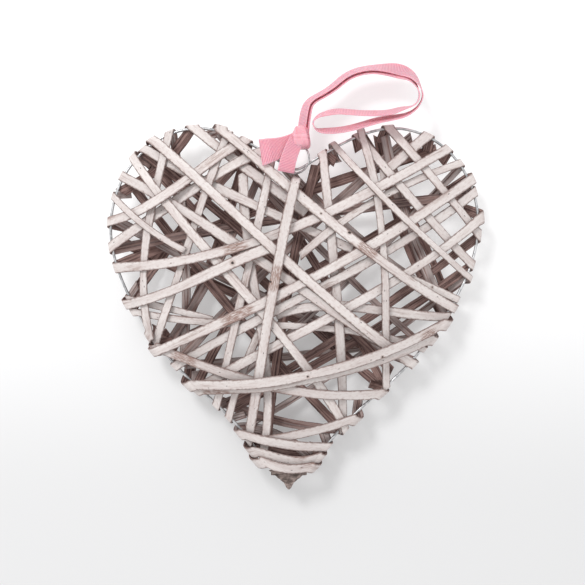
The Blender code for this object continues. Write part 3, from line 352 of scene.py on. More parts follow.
class Pass:
    """A stretch of lath over one side, from a start to an end in plan."""

    def __init__(self, rim, side, start, end, bow, skew, half_width, rims, foot=None):
        self.rim = rim
        self.side = side
        self.half_width = half_width
        self.rims = rims
        self.foot = foot
        self.start = np.asarray(start, float)
        self.end = np.asarray(end, float)
        chord = self.end - self.start
        self.length = np.linalg.norm(chord)
        self.ahead = chord / self.length
        self.left = np.array([-self.ahead[1], self.ahead[0]])
        self.bow = bow
        self.skew = skew

    def plan(self, u):
        """Return plan points and width directions at the shares u of the chord."""
        arch = 4 * u * (1 - u)
        offset = arch * self.bow + arch * (1 - 2 * u) * 2 * self.skew
        points = self.start + u[:, None] * self.ahead * self.length + offset[:, None] * self.left
        turn = 4 * (1 - 2 * u) * self.bow + 8 * ((1 - 2 * u) ** 2 - 2 * u * (1 - u)) * self.skew
        heading = self.ahead * self.length + turn[:, None] * self.left
        heading /= np.linalg.norm(heading, axis=1)[:, None]
        across = np.stack([-heading[:, 1], heading[:, 0]], axis=1)
        for at_rim, distance, place in ((self.rims[0], u, self.start), (self.rims[1], 1 - u, self.end)):
            if not at_rim:
                continue
            tangent = self.rim.frame(place)[1]
            square = across @ tangent
            square = np.copysign(np.maximum(abs(square), LEAST_SQUARENESS), square)
            lean = (heading @ tangent) / square
            amount = np.clip(1 - distance * self.length / (SHEAR_WIDTHS * LATH_WIDTH), 0, 1)
            across = across + (amount * lean)[:, None] * heading
        return points, across

    def rolls(self, u, points, across):
        """Return how much the strip rises along its width directions: none on a foot or at the wire."""
        if self.foot:
            return np.zeros(len(u))
        fade = np.ones(len(u))
        for at_rim, distance in ((self.rims[0], u), (self.rims[1], 1 - u)):
            if at_rim:
                fade = np.minimum(fade, distance * self.length / ROLL_REACH)
        return self.side.roll(points, across) * fade

    def settle(self, heights):
        """Lay the pass on the map. Heights are those of its two ends; the needed ones come back."""
        u = np.linspace(0, 1, LAY_SAMPLES)
        points, across = self.plan(u)
        roll = self.rolls(u, points, across)
        grown = self.side.grown()
        need = np.full(LAY_SAMPLES, -1.0)
        for v in np.linspace(-1, 1, SIDE_SAMPLES):
            spots = points + across * v * self.half_width
            top = grown[self.side.cells(spots)]
            need = np.maximum(need, top - roll * v * self.half_width)
        need = need + LATH_THICKNESS / 2 + CLEARANCE
        rest = self.side.dome(points) + np.interp(u, [0, 1], heights)
        if self.foot:
            level = np.clip(np.sin(math.pi * u), 0, 1) ** FOOT_CURVE
            rest = heights[0] + (self.foot - heights[0]) * level
            middle = abs(u - 0.5) < FOOT_LEVEL_SHARE
            rest[middle] = self.foot
        line = np.maximum(rest, need)
        for k, (at_rim, place) in enumerate(zip(self.rims, (0, -1))):
            if at_rim:
                line[place] = max(heights[k], need[place])
        line = upper_hull(u, line)
        self.u = u
        self.line = line
        return line[0], line[-1]

    def stations(self):
        """Return the strip's stations: plan point, half width vector with its roll, and height."""
        count = max(2, round(self.length / STATION_SPACING) + 1)
        u = np.linspace(0, 1, count)
        if self.foot:
            level = FOOT_EDGE_SHARE * FOOT_LEVEL_SHARE
            u = np.sort(np.append(u[abs(u - 0.5) > 2 * FOOT_LEVEL_SHARE], [0.5 - level, 0.5 + level]))
        extra = SHEAR_WIDTHS * LATH_WIDTH / self.length
        for at_rim, place, end, toward in ((self.rims[0], self.start, 0, 1), (self.rims[1], self.end, 1, -1)):
            if not at_rim:
                continue
            if abs(abs(u - end) - extra).min() > extra * END_STATION_ROOM:
                u = np.append(u, end + toward * extra)
            if abs(self.ahead @ self.rim.frame(place)[1]) > SLANT_STATIONS:
                u = np.append(u, end + toward * extra * np.array(SLANT_SHARES))
        u = np.sort(u)
        heights = np.interp(u, self.u, self.line)
        gaps = self.line - np.interp(self.u, u, heights)
        while gaps.max() > LARGEST_STEP and len(u) < MOST_STATIONS:
            u = np.sort(np.append(u, self.u[gaps.argmax()]))
            heights = np.interp(u, self.u, self.line)
            gaps = self.line - np.interp(self.u, u, heights)
        if not self.foot:
            short = max(gaps.max(), 0)
            heights[1:-1] += short
            for at_rim, place in zip(self.rims, (0, -1)):
                if not at_rim:
                    heights[place] += short
        points, across = self.plan(u)
        roll = self.rolls(u, points, across)
        return points, across * self.half_width, roll * self.half_width, heights

    def fine(self, sign):
        """Return the pass finely, as rows in space: plan(u) at the settled height, with the dome's roll."""
        u = np.linspace(0, 1, max(5, round(self.length / LATH_STEP) + 1))
        points, across = self.plan(u)
        roll = self.rolls(u, points, across)
        heights = np.interp(u, self.u, self.line)
        up = np.array([0.0, 0.0, float(sign)])
        rows = []
        halves = across * self.half_width
        for point, half, rise, height in zip(points, halves, roll * self.half_width, heights):
            rows.append((np.array([*point, sign * height]), np.array([*half, sign * rise]), up))
        return rows

    def mark(self):
        """Write the top of the strip into the map."""
        points, across, roll, heights = self.stations()
        fine = max(FEWEST_MARKS, int(self.length / MARK_STEP))
        u = np.linspace(0, len(points) - 1, fine)
        k = np.arange(len(points))
        for v in np.linspace(-1, 1, 2 * SIDE_SAMPLES + 1):
            x = np.interp(u, k, points[:, 0] + across[:, 0] * v)
            y = np.interp(u, k, points[:, 1] + across[:, 1] * v)
            z = np.interp(u, k, heights + roll * v) + LATH_THICKNESS / 2
            cells = self.side.cells(np.stack([x, y], axis=1))
            np.maximum.at(self.side.passes, cells, z)


class Fold:
    """A lath's turn round the wire: two quarter ellipses with their own heights in front and behind."""

    def __init__(self, rim, place, heading, half_width):
        self.rim = rim
        self.centre, self.tangent, self.outward = rim.frame(place)
        square = abs(heading @ self.outward)
        drift = (heading @ self.tangent) / max(square, LEAST_DRIFT_SQUARENESS)
        self.drift = np.clip(drift, -STEEPEST_FOLD, STEEPEST_FOLD)
        self.half_width = half_width * min(1 / max(square, LEAST_SQUARENESS), WIDEST_FOLD)
        self.reach = WIRE_RADIUS
        self.top = WIRE_RADIUS + CLEARANCE + LATH_THICKNESS / 2
        self.bottom = self.top

    def span(self):
        """Return the loop indexes that the fold covers."""
        along = self.drift * self.reach * math.pi
        low = min(0, along) - self.half_width - CLEARANCE
        high = max(0, along) + self.half_width + CLEARANCE
        i = self.rim.index(self.centre)
        return np.arange(math.floor(low / self.rim.step), math.ceil(high / self.rim.step) + 1) + i

    def exit_place(self):
        """Return the rim point where the lath leaves the wire on the other side."""
        i = self.rim.index(self.centre) + round(self.drift * self.reach * math.pi / self.rim.step)
        return self.rim.loop[i % RIM_POINTS]

    def exit_heading(self, heading):
        """Return the lath's heading after the fold: the outward part turns back."""
        tangent, outward = self.rim.frame(self.exit_place())[1:]
        back = (heading @ tangent) * tangent - (abs(heading @ outward) + INWARD_TURN) * outward
        return back / np.linalg.norm(back)

    def steps(self):
        """Return how many steps the turn is drawn in."""
        longest = max(self.reach, self.top, self.bottom)
        return max(FEWEST_TURN_STEPS, round(math.pi * longest / TURN_STEP))

    def stations(self, steps):
        """Return the turn's stations, front to back: centres, half width vectors, thickness directions."""
        last_centre, last_tangent, last_outward = self.rim.frame(self.exit_place())
        rows = []
        for share in np.arange(1, steps) / steps:
            angle = math.pi / 2 - math.pi * share
            centre = self.centre * (1 - share) + last_centre * share
            tangent = self.tangent * (1 - share) + last_tangent * share
            outward = self.outward * (1 - share) + last_outward * share
            height = self.top if angle > 0 else self.bottom
            middle = np.array([*(centre + outward * self.reach * math.cos(angle)), height * math.sin(angle)])
            out = np.array([*(outward * height * math.cos(angle)), self.reach * math.sin(angle)])
            rows.append((middle, np.array([*tangent, 0.0]) * self.half_width, out / np.linalg.norm(out)))
        return rows


def ring_path(rim, count):
    """Return the hanging ring's centre line, a leaning circle, and its axis.

    One side of it passes over the wire and the other under it.
    """
    notch = rim.point(0)
    centre = np.array([notch[0] + RING_SIDEWAYS, notch[1] + RING_RISE, 0.0])
    sideways = np.array([math.cos(RING_TILT), 0.0, math.sin(RING_TILT)])
    along = np.array([0.0, 1.0, 0.0])
    angle = 2 * math.pi * np.arange(count)[:, None] / count
    out = sideways * np.cos(angle) + along * np.sin(angle)
    return centre + out * RING_RADIUS, out, np.cross(sideways, along)


def ribbon_route(winding, step):
    """Return the loop's centres and half width vectors: a leaning strip, clear of the laths under it."""
    outer = np.array(RIBBON_STRAND)
    way = np.gradient(outer[:, :2], axis=0)
    way /= np.linalg.norm(way, axis=1)[:, None]
    inner = outer.copy()
    inner[:, :2] += STRAND_GAP * np.column_stack([way[:, 1], -way[:, 0]])
    back = outer[::-1] * (1, 1, 1, -1)
    places = np.concatenate([inner[:-1], RIBBON_EYE, back])
    route = natural_spline(places * (1, 1, 1, LEAN_LENGTH), ROUTE_POINTS)
    along = np.concatenate([[0.0], np.cumsum(np.linalg.norm(np.diff(route[:, :2], axis=0), axis=1))])
    count = round(along[-1] / step)
    where = np.linspace(0, along[-1], count)
    points = np.stack([np.interp(where, along, route[:, k]) for k in range(4)], axis=1)
    ahead = np.gradient(points[:, :2], axis=0)
    ahead /= np.linalg.norm(ahead, axis=1)[:, None]
    left = np.stack([-ahead[:, 1], ahead[:, 0]], axis=1)
    lean = points[:, 3] / LEAN_LENGTH
    half = RIBBON_WIDTH / 2
    upright = np.sqrt(1 - lean ** 2)
    grown = winding.front.grown()
    under = np.full(count, -1.0)
    for v in (-1, 0, 1):
        spots = points[:, :2] + left * (lean * half)[:, None] * v
        under = np.maximum(under, grown[winding.front.cells(spots)])
    low = np.maximum(points[:, 2], np.where(under > 0, under + RIBBON_REST_GAP, -1))
    reach = round(RIDE_SPREAD / step)
    order = np.arange(count)
    near = [np.interp(order + k, order, low) for k in range(-reach, reach + 1)]
    low = np.max(near, axis=0)
    centre = np.column_stack([points[:, :2], low + upright * half])
    return centre, np.column_stack([left * (-lean * half)[:, None], upright * half])


def tail_rows(winding):
    """Lay the two tails and return their rows of stations."""
    tails = []
    for start, end, bow, first, last in TAILS:
        tail = Pass(winding.rim, winding.front, start, end, bow, 0, RIBBON_WIDTH / 2 * last, (False, False))
        tail.settle((TAIL_START_HEIGHT, TAIL_END_HEIGHT))
        rows = winding.align(tail.fine(1))
        shares = np.linspace(first / last, 1, len(rows))
        tails.append([(centre, half * share, out) for (centre, half, out), share in zip(rows, shares)])
        tail.mark()
    return tails


class Winding:
    """Lays the laths one after another and keeps what lies where."""

    def __init__(self):
        self.rim = Rim()
        self.front = Side(self.rim, FRONT_RISE)
        self.back = Side(self.rim, BACK_RISE)
        self.reach = np.full(RIM_POINTS, WIRE_RADIUS)
        self.floor = None
        ring = ring_path(self.rim, RING_MARKS)[0]
        for side, sign in ((self.front, 1), (self.back, -1)):
            near = ring[sign * ring[:, 2] > -RING_WIRE_RADIUS]
            np.maximum.at(side.folds, side.cells(near[:, :2]), sign * near[:, 2] + RING_WIRE_RADIUS)

    def fold_reach(self, fold):
        """Widen a fold until it clears the wire and the folds under it."""
        for _ in range(FOLD_ROUNDS):
            under = self.reach[fold.span() % RIM_POINTS].max()
            bare = under + FOLD_CLEARANCE + LATH_THICKNESS / 2
            if bare <= fold.reach:
                break
            fold.reach = bare

    def keep_fold(self, fold):
        """Note the room that a fold takes up."""
        span = fold.span() % RIM_POINTS
        self.reach[span] = np.maximum(self.reach[span], fold.reach + LATH_THICKNESS / 2)
        outward = np.stack([-self.rim.tangent[span][:, 1], self.rim.tangent[span][:, 0]], axis=1)
        for side, height in ((self.front, fold.top), (self.back, fold.bottom)):
            for step in np.arange(*FOLD_ROOM):
                cells = side.cells(self.rim.loop[span] + outward * step)
                np.maximum.at(side.folds, cells, height + LATH_THICKNESS / 2)

    def lay_lath(self, row, foot):
        """Lay one lath and return its rows of stations, from its start to its end."""
        start_clock, depth, end_clock, bow, skew, share, back_end = row[1:]
        half_width = LATH_WIDTH * share / 2
        start = self.rim.point(start_clock, depth)
        end = self.rim.point(end_clock)
        hooked = depth == 0.0
        over = Pass(self.rim, self.front, start, end, bow, skew, half_width, (hooked, True))
        points = over.plan(np.array([0.0, NEAR_END, 1 - NEAR_END, 1.0]))[0]
        leaving = (points[0] - points[1]) / np.linalg.norm(points[0] - points[1])
        arriving = (points[3] - points[2]) / np.linalg.norm(points[3] - points[2])
        first = Fold(self.rim, start, leaving, half_width)
        last = Fold(self.rim, end, arriving, half_width)
        for fold in (first, last) if hooked else (last,):
            self.fold_reach(fold)
        tail = self.lay_tail(first, leaving) if hooked else None
        under = self.lay_return(last, arriving, back_end, half_width, foot)
        for _ in range(LAY_ROUNDS):
            needed = over.settle([first.top if hooked else 0.0, last.top])
            behind = under.settle((last.bottom, self.end_height(under)))[0]
            pairs = [(last, needed[1], behind)]
            if hooked:
                pairs.append((first, needed[0], tail.settle((first.bottom, 0.0))[0]))
            settled = all(fold.top >= top - SETTLED and fold.bottom >= bottom - SETTLED
                          for fold, top, bottom in pairs)
            if settled:
                break
            for fold, top, bottom in pairs:
                fold.top = max(fold.top, top)
                fold.bottom = max(fold.bottom, bottom)
        rows = []
        if hooked:
            rows += tail.fine(-1)[::-1]
            rows += first.stations(first.steps())[::-1]
        rows += over.fine(1)
        rows += last.stations(last.steps())
        rows += under.fine(-1)
        over.mark()
        under.mark()
        self.keep_fold(last)
        if hooked:
            tail.mark()
            self.keep_fold(first)
        return self.align(rows)

    def end_height(self, under):
        """Return the height at which a back pass ends."""
        return self.back.dome(under.end) + WIRE_RADIUS + LATH_THICKNESS / 2 + CLEARANCE

    def lay_tail(self, fold, heading):
        """Return the short pass behind the wire where a lath's start is tucked in."""
        place = fold.exit_place()
        inward = fold.exit_heading(heading)
        return Pass(self.rim, self.back, place, place + inward * TAIL_LENGTH, 0, 0,
                    fold.half_width * TAIL_WIDTH_SHARE, (True, False))

    def lay_return(self, fold, heading, back_end, half_width, foot):
        """Return the pass over the back."""
        place = fold.exit_place()
        inward = fold.exit_heading(heading)
        if back_end == TAIL:
            return Pass(self.rim, self.back, place, place + inward * TAIL_LENGTH, 0, 0,
                        half_width, (True, False))
        far = self.rim.point(back_end)
        chord = far - place
        far = place + chord * (1 - RETURN_STOP / np.linalg.norm(chord))
        return Pass(self.rim, self.back, place, far, RETURN_BOW, 0, half_width, (True, False), foot)

    def align(self, rows):
        """Make every row's width vector point to the same edge, and its thickness to the outer face."""
        aligned = [rows[0]]
        for before, after in zip(rows, rows[1:]):
            ahead = after[0] - before[0]
            edge = np.cross(after[2], ahead)
            half = after[1] if edge @ after[1] > 0 else -after[1]
            aligned.append((after[0], half, after[2]))
        ahead = rows[1][0] - rows[0][0]
        half = rows[0][1]
        half = half if np.cross(rows[0][2], ahead) @ half > 0 else -half
        aligned[0] = (rows[0][0], half, rows[0][2])
        return aligned

    def lay_all(self, foot=None):
        """Lay every lath in winding order and return its number and rows. The feet share one level."""
        return [(row[0], self.lay_lath(row, foot if row[0] in FEET else None)) for row in LATHS]


def wound_heart():
    """Wind the heart twice: once to find how deep its back gets, and again with the feet below that."""
    trial = Winding()
    trial.lay_all()
    foot = max(trial.back.passes.max(), trial.back.folds.max()) + LATH_THICKNESS / 2 + CLEARANCE
    winding = Winding()
    laid = winding.lay_all(foot)
    winding.floor = -(foot + LATH_THICKNESS / 2)
    return winding, laid


# The laths' look: their section, how their edges swing and how their faces are grooved
OUTER_POINTS = 13
INNER_POINTS = 9
CROWN = 0.10
OUTER_FACE = 0.48
INNER_FACE = 0.46
INNER_RIDGE = 0.10
INNER_WAVES = 2.5
OUTER_REACH = 0.96
INNER_REACH = 0.95
EDGE_DROP = 0.12
EDGE_POWER = 12
SECTION_EDGE = [(1.0, 0.15, 0.55), (1.0, -0.25, 0.0)]
WIDTH_LOSS = 0.4
CENTRE_PASSES = 1
WIDTH_PASSES = 4
KNOT_REACH = 0.0015
TINTS = (0, 0.6)
GREY_TINTS = (0.3, 1.0)
WIDTH_SWING = 0.09
EDGE_SWING = 0.030
SIDE_DRIFT = 0.05
GRAIN_RELIEF = 0.00006
SWING_SPACING = 0.022
NICK_SPACING = 0.0035
CUT_SLANT = 0.7
CUT_ROWS = 4
LATH_UV_STEP = 0.37
# Places of the heart's front, from its centre: dark knots, and laths worn down to the brown wood
KNOTS = [(0.0354, 0.0446, 0.0016), (-0.0387, 0.0249, 0.0018), (0.0394, -0.0079, 0.0014),
         (-0.0140, 0.0130, 0.0013), (0.0670, 0.0270, 0.0012), (-0.0700, 0.0210, 0.0011),
         (0.0560, -0.0350, 0.0012), (-0.0120, 0.0480, 0.0012), (0.0180, 0.0560, 0.0010),
         (-0.0480, 0.0560, 0.0012), (0.0900, 0.0100, 0.0011), (0.0090, -0.0470, 0.0011)]
WORN = [(36, (-0.0130, 0.0150), 0.011), (26, (-0.0350, 0.0290), 0.012), (27, (-0.0350, -0.0090), 0.014),
        (30, (0.0480, 0.0340), 0.009), (29, (0.0350, 0.0100), 0.010), (38, (0.0900, -0.0250), 0.010),
        (28, (-0.0750, 0.0300), 0.012), (37, (-0.0500, -0.0580), 0.012), (23, (-0.0700, -0.0350), 0.012),
        (34, (0.0050, -0.0950), 0.010), (35, (0.0100, -0.1000), 0.008), (21, (0.0600, -0.0300), 0.012)]
GREY_LATHS = (32, 33, 34, 35, 1, 23)

# The ring, the wrap and the ribbon
RING_POINTS = 120
WIRE_ROUND = 12
WRAP_SIDES = 64
WRAP_STATIONS = 60
WRAP_WRINKLE = 0.07
WRAP_WRINKLE_RATE = 3100
WRAP_CALM_SHARE = 0.4
WRAP_CLOSES_FROM = 0.8
WRAP_POINT_SHARE = 0.25
WRAP_MOUTH_DEPTH = 0.003
WRAP_MOUTH_TAPER = 0.9
RIBBON_FINE_STEP = 0.0008
RIBBON_ACROSS = 13
RIBBON_UV_STEP = 0.5
RIDE_PASSES = 60
RIB_PITCH = 0.0016
RIB_SCALE = 0.5 / RIB_PITCH
KNOT_STATIONS = 48
KNOT_AROUND = 80
KNOT_FOLD = 0.2
KNOT_GATHERS = 6
KNOT_BOXINESS = 0.55
KNOT_TAPER = 0.22

# Colours, as linear shares of red, green and blue
WHITEWASH = (0.735, 0.680, 0.660)
# Painted shade: a shaded copy of the whitewash
WHITEWASH_PAINTED_SHADE = (0.630, 0.555, 0.535)
WHITEWASH_MOTTLE = (0.49, 0.385, 0.355)
# Painted highlight: a lit copy of the whitewash
WHITEWASH_PAINTED_HIGHLIGHT = (0.83, 0.79, 0.775)
GRAIN_BROWN = (0.27, 0.165, 0.14)
GREYED = (0.42, 0.36, 0.35)
WORN_BROWN = (0.25, 0.135, 0.105)
# The brown of the split edge, with painted shade along the lath edges
EDGE_BROWN_AND_PAINTED_SHADE = (0.17, 0.10, 0.085)
SPECK_BROWN = (0.07, 0.045, 0.04)
KNOT_HALO = (0.27, 0.15, 0.11)
KNOT_CORE = (0.035, 0.025, 0.022)
INNER_DARK = (0.070, 0.032, 0.028)
INNER_LIGHT = (0.33, 0.205, 0.180)
INNER_FLECK = (0.47, 0.35, 0.325)
INNER_CLOUD = (0.14, 0.070, 0.060)
INNER_PAINT = (0.56, 0.49, 0.475)
# Painted shade along the edges of the inner face
INNER_EDGE_SHADE = (0.10, 0.055, 0.048)
BARK_DARK = (0.085, 0.060, 0.052)
BARK_LIGHT = (0.40, 0.31, 0.28)
ZINC_DARK = (0.42, 0.42, 0.43)
ZINC_LIGHT = (0.68, 0.68, 0.69)
# Painted shade in the ribbon's rib troughs
PINK_RIB_SHADE = (0.58, 0.165, 0.235)
PINK = (0.87, 0.400, 0.475)
PINK_THREAD = (0.95, 0.58, 0.63)
PINK_HEM = (0.93, 0.52, 0.58)
PAPER = (0.66, 0.66, 0.665)
KNOT_UNEVENNESS = 0.0018
HEM_FROM = 0.43
HEM_TO = 0.47

# The camera and the lights
PHOTO_WIDTH_M = 0.384
PHOTO_CENTRE = (-0.0003, 0.0062)
CAMERA_HEIGHT = 0.60
SENSOR = 36.0
FLOOR_HALF = 3.0
SKY_STRENGTH = 0.85
# Painted light: the paper glows, which keeps the floor white in the heart's shadows and lights the heart from
# below; the glow is weaker towards -Y
PAPER_GLOW = 0.42
PAPER_LOW_GLOW = 0.10
PAPER_DARK_BELOW = -0.16
PAPER_WHITE_ABOVE = 0.10
LIGHTS = [("key_light", (-0.5, 0.7, 1.1), 0.35, 8.0), ("fill_light", (0.8, -0.3, 1.2), 1.0, 1.0)]


def put_in_scene(name, mesh, material, replaced=()):
    """Add a finished mesh at the origin, riding on the heart's one body."""
    mesh.materials.append(material)
    piece = bpy.data.objects.new(name, mesh)
    bpy.context.collection.objects.link(piece)
    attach(piece, "root")
    for node in replaced:
        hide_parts(node)
    return piece


def grid_mesh(name, grid, uv=None, values=None, closed_along=False):
    """Make a smooth mesh of a grid of points (along, round): quads between neighbours, and flat end caps.

    The faces are turned outwards by the sign of the volume, the sum of p0 . (p1 x p2) / 6 over triangles.
    """
    along, around = grid.shape[:2]
    points = grid.reshape(-1, 3)
    i = np.arange(along if closed_along else along - 1)[:, None]
    j = np.arange(around)[None, :]
    n, m = (i + 1) % along, (j + 1) % around
    quads = np.stack([i * around + j, i * around + m, n * around + m, n * around + j], axis=-1).reshape(-1, 4)
    faces = quads.tolist()
    if not closed_along:
        faces.append(list(range(around))[::-1])
        faces.append(list(range((along - 1) * around, along * around)))
    a, b, c, d = (points[quads[:, k]] for k in range(4))
    volume = (np.einsum("ij,ij->i", a, np.cross(b, c)) + np.einsum("ij,ij->i", a, np.cross(c, d))).sum()
    if volume < 0:
        faces = [face[::-1] for face in faces]
    mesh = bpy.data.meshes.new(name)
    mesh.from_pydata(points.tolist(), [], faces)
    mesh.polygons.foreach_set("use_smooth", np.ones(len(faces), bool))
    corner = np.empty(len(mesh.loops), int)
    mesh.loops.foreach_get("vertex_index", corner)
    if uv is not None:
        layer = mesh.uv_layers.new(name="along")
        layer.data.foreach_set("uv", uv.reshape(-1, 2)[corner].ravel())
    for label, column in (values or {}).items():
        mesh.attributes.new(label, "FLOAT", "POINT").data.foreach_set("value", column.ravel())
    mesh.update()
    return mesh


def smoothed(values, passes):
    """Average each row with its neighbours, 1 : 2 : 1, and keep the ends."""
    for _ in range(passes):
        values = np.vstack([values[:1], (values[:-2] + 2 * values[1:-1] + values[2:]) / 4, values[-1:]])
    return values


def wander(rng, along, spacing):
    """Return a curve between -1 and 1 that drifts: random knots at a spacing, joined by straight lines."""
    knots = np.arange(0, along[-1] + 2 * spacing, spacing)
    return np.interp(along, knots, rng.uniform(-1, 1, len(knots)))


def lath_section():
    """Return the section once round: share of the half width, share of the thickness, 1 on the outer face.

    The outer face is crowned, height = OUTER_FACE + CROWN (1 - x^2), and the inner one has three low ridges.
    """
    x = np.linspace(-OUTER_REACH, OUTER_REACH, OUTER_POINTS)
    top = OUTER_FACE + CROWN * (1 - x ** 2) - EDGE_DROP * abs(x) ** EDGE_POWER
    top = np.stack([x, top, np.ones(OUTER_POINTS)], axis=1)
    x = np.linspace(INNER_REACH, -INNER_REACH, INNER_POINTS)
    low = -INNER_FACE + INNER_RIDGE * np.sin(INNER_WAVES * math.pi * x) * (1 - x ** 2)
    bottom = np.stack([x, low, np.zeros(INNER_POINTS)], axis=1)
    right = np.array(SECTION_EDGE)
    return np.vstack([top, right, bottom, right[::-1] * (-1, 1, 1)])


def lath_mesh(name, rows, number, shift, marks):
    """A split lath: a section with rounded edges and a crowned outer face, carried along the rows.

    point(s, c) = centre(s) + half(s) * (across(c) * (1 + swing(s, edge)) + drift(s)) + normal(s) * (thickness
    * height(c) + grain(c, s)), where the swing is a slow change of width with small nicks on top.
    """
    rng = np.random.default_rng(number)
    centre = smoothed(np.array([row[0] for row in rows]), CENTRE_PASSES)
    half = smoothed(np.array([row[1] for row in rows]), WIDTH_PASSES)
    out = smoothed(np.array([row[2] for row in rows]), CENTRE_PASSES)
    ahead = np.gradient(centre, axis=0)
    normal = np.cross(half, ahead)
    normal /= np.linalg.norm(normal, axis=1)[:, None]
    normal *= np.sign(np.einsum("ij,ij->i", normal, out))[:, None]
    along = np.concatenate([[0.0], np.cumsum(np.linalg.norm(np.diff(centre, axis=0), axis=1))])
    across, height, outer = lath_section().T
    swing = WIDTH_SWING * (wander(rng, along, SWING_SPACING) - WIDTH_LOSS)
    left = swing + EDGE_SWING * wander(rng, along, NICK_SPACING)
    right = swing + EDGE_SWING * wander(rng, along, NICK_SPACING)
    width = across[None, :] * (1 + np.where(across[None, :] < 0, left[:, None], right[:, None]))
    width = width + SIDE_DRIFT * wander(rng, along, SWING_SPACING)[:, None]
    grain = np.stack([wander(rng, along, SWING_SPACING) for _ in across], axis=1) * GRAIN_RELIEF
    lift = LATH_THICKNESS * height[None, :] + grain
    grid = centre[:, None] + half[:, None] * width[..., None] + normal[:, None] * lift[..., None]
    reach = np.linalg.norm(half, axis=1).mean()
    direction = ahead / np.linalg.norm(ahead, axis=1)[:, None]
    for end, step in ((0, 1), (-1, -1)):
        slant = rng.uniform(-CUT_SLANT, CUT_SLANT) * reach
        for k in range(CUT_ROWS):
            row = end + step * k
            grid[row] += direction[end] * (slant * (1 - k / CUT_ROWS) * across)[:, None]
    uv = np.stack(np.broadcast_arrays(LATH_UV_STEP * number + along[:, None], width * reach), axis=-1)
    marks.append((grid, uv, outer))
    bare = np.zeros(width.shape)
    for lath, place, spread in WORN:
        if lath == number:
            gap = np.linalg.norm(grid[..., :2] - np.array(place), axis=-1)
            bare = np.maximum(bare, np.exp(-(gap / spread) ** 2) * (grid[..., 2] > 0))
    tint = rng.uniform(*(GREY_TINTS if number in GREY_LATHS else TINTS))
    values = {"outer": np.broadcast_to(outer, width.shape), "edge": np.broadcast_to(abs(across), width.shape),
              "tint": np.full(width.shape, tint), "bare": bare,
              "washed": np.full(width.shape, rng.uniform(0, 1))}
    return grid_mesh(name, grid + shift, uv, values)


def knot_places(marks):
    """Return each knot's place in the laths' own UV, on the highest outer face at its place, and its size."""
    found = []
    for x, y, size in KNOTS:
        best = None
        for grid, uv, outer in marks:
            near = np.linalg.norm(grid[..., :2] - np.array([x, y]), axis=-1) + 1.0 * (outer < 1)[None, :]
            spot = np.unravel_index(near.argmin(), near.shape)
            if near[spot] < KNOT_REACH and (best is None or grid[spot][2] > best[0]):
                best = (grid[spot][2], uv[spot])
        if best:
            found.append((*best[1], size))
    return found


def round_wire(name, path, radius):
    """A closed round wire: a circle of the radius carried along the path, square to it."""
    ahead = np.roll(path, -1, axis=0) - np.roll(path, 1, axis=0)
    ahead /= np.linalg.norm(ahead, axis=1)[:, None]
    first = np.cross(ahead, [0.0, 0.0, 1.0])
    first /= np.linalg.norm(first, axis=1)[:, None]
    second = np.cross(ahead, first)
    angle = 2 * math.pi * np.arange(WIRE_ROUND) / WIRE_ROUND
    grid = path[:, None] + radius * (first[:, None] * np.cos(angle)[None, :, None]
                                     + second[:, None] * np.sin(angle)[None, :, None])
    return grid_mesh(name, grid, closed_along=True)


def wrap_mesh(rim, shift):
    """The dark wrap on the tip: a flat cup that narrows downwards, with wrinkles that run round it.

    A slot shaped section, wider than deep, is scaled along a profile that turns in at the open end.
    """
    low = rim.loop[:, 1].min()
    middle = rim.loop[rim.loop[:, 1].argmin(), 0]
    start = low + WRAP_START
    near = abs(rim.loop[:, 1] - start) < WRAP_MOUTH_BAND
    wire_half = np.ptp(rim.loop[near, 0]) / 2
    room = WIRE_RADIUS + WRAP_PLAY
    floor_y = low - room - WRAP_PLAY
    end = start - WRAP_LENGTH
    angle = 2 * math.pi * np.arange(WRAP_SIDES) / WRAP_SIDES
    outside = np.linspace(0, 1, WRAP_STATIONS)
    y = start + (end - start) * outside
    half_x = np.interp(y, [end, floor_y, start], [0.0, room * WRAP_BOTTOM_SHARE, wire_half + room]) + WRAP_WALL
    half_z = np.interp(y, [end, floor_y, start], [0.0, room, room]) + WRAP_WALL
    past = np.clip(outside - WRAP_CLOSES_FROM, 0, 1) / (1 - WRAP_CLOSES_FROM)
    close = WRAP_POINT_SHARE + (1 - WRAP_POINT_SHARE) * np.sqrt(np.clip(1 - past ** 2, 0.0, 1))
    half_x = half_x * close
    half_z = half_z * close
    inner_y = np.array([start, start - WRAP_MOUTH_DEPTH])
    inner_x = np.array([wire_half + room, wire_half + room * WRAP_MOUTH_TAPER])
    inner_z = np.array([room, room])
    y = np.concatenate([inner_y[::-1], y])
    half_x = np.concatenate([inner_x[::-1], half_x])
    half_z = np.concatenate([inner_z[::-1], half_z])
    turn = 1.6 * np.sin(angle * 3) + 1.1 * np.sin(angle)
    rough = np.sin(y[:, None] * WRAP_WRINKLE_RATE + turn[None])
    rough = 1 + WRAP_WRINKLE * rough * np.linspace(WRAP_CALM_SHARE, 1, len(y))[:, None]
    square = np.maximum(abs(np.cos(angle)), abs(np.sin(angle))) ** 0.5
    x = middle + half_x[:, None] * np.cos(angle) / square * rough
    z = half_z[:, None] * np.sin(angle) / square * rough
    grid = np.stack([x, np.broadcast_to(y[:, None], x.shape), z], axis=-1) + shift
    return grid_mesh("tip_wrap_dressed", grid)


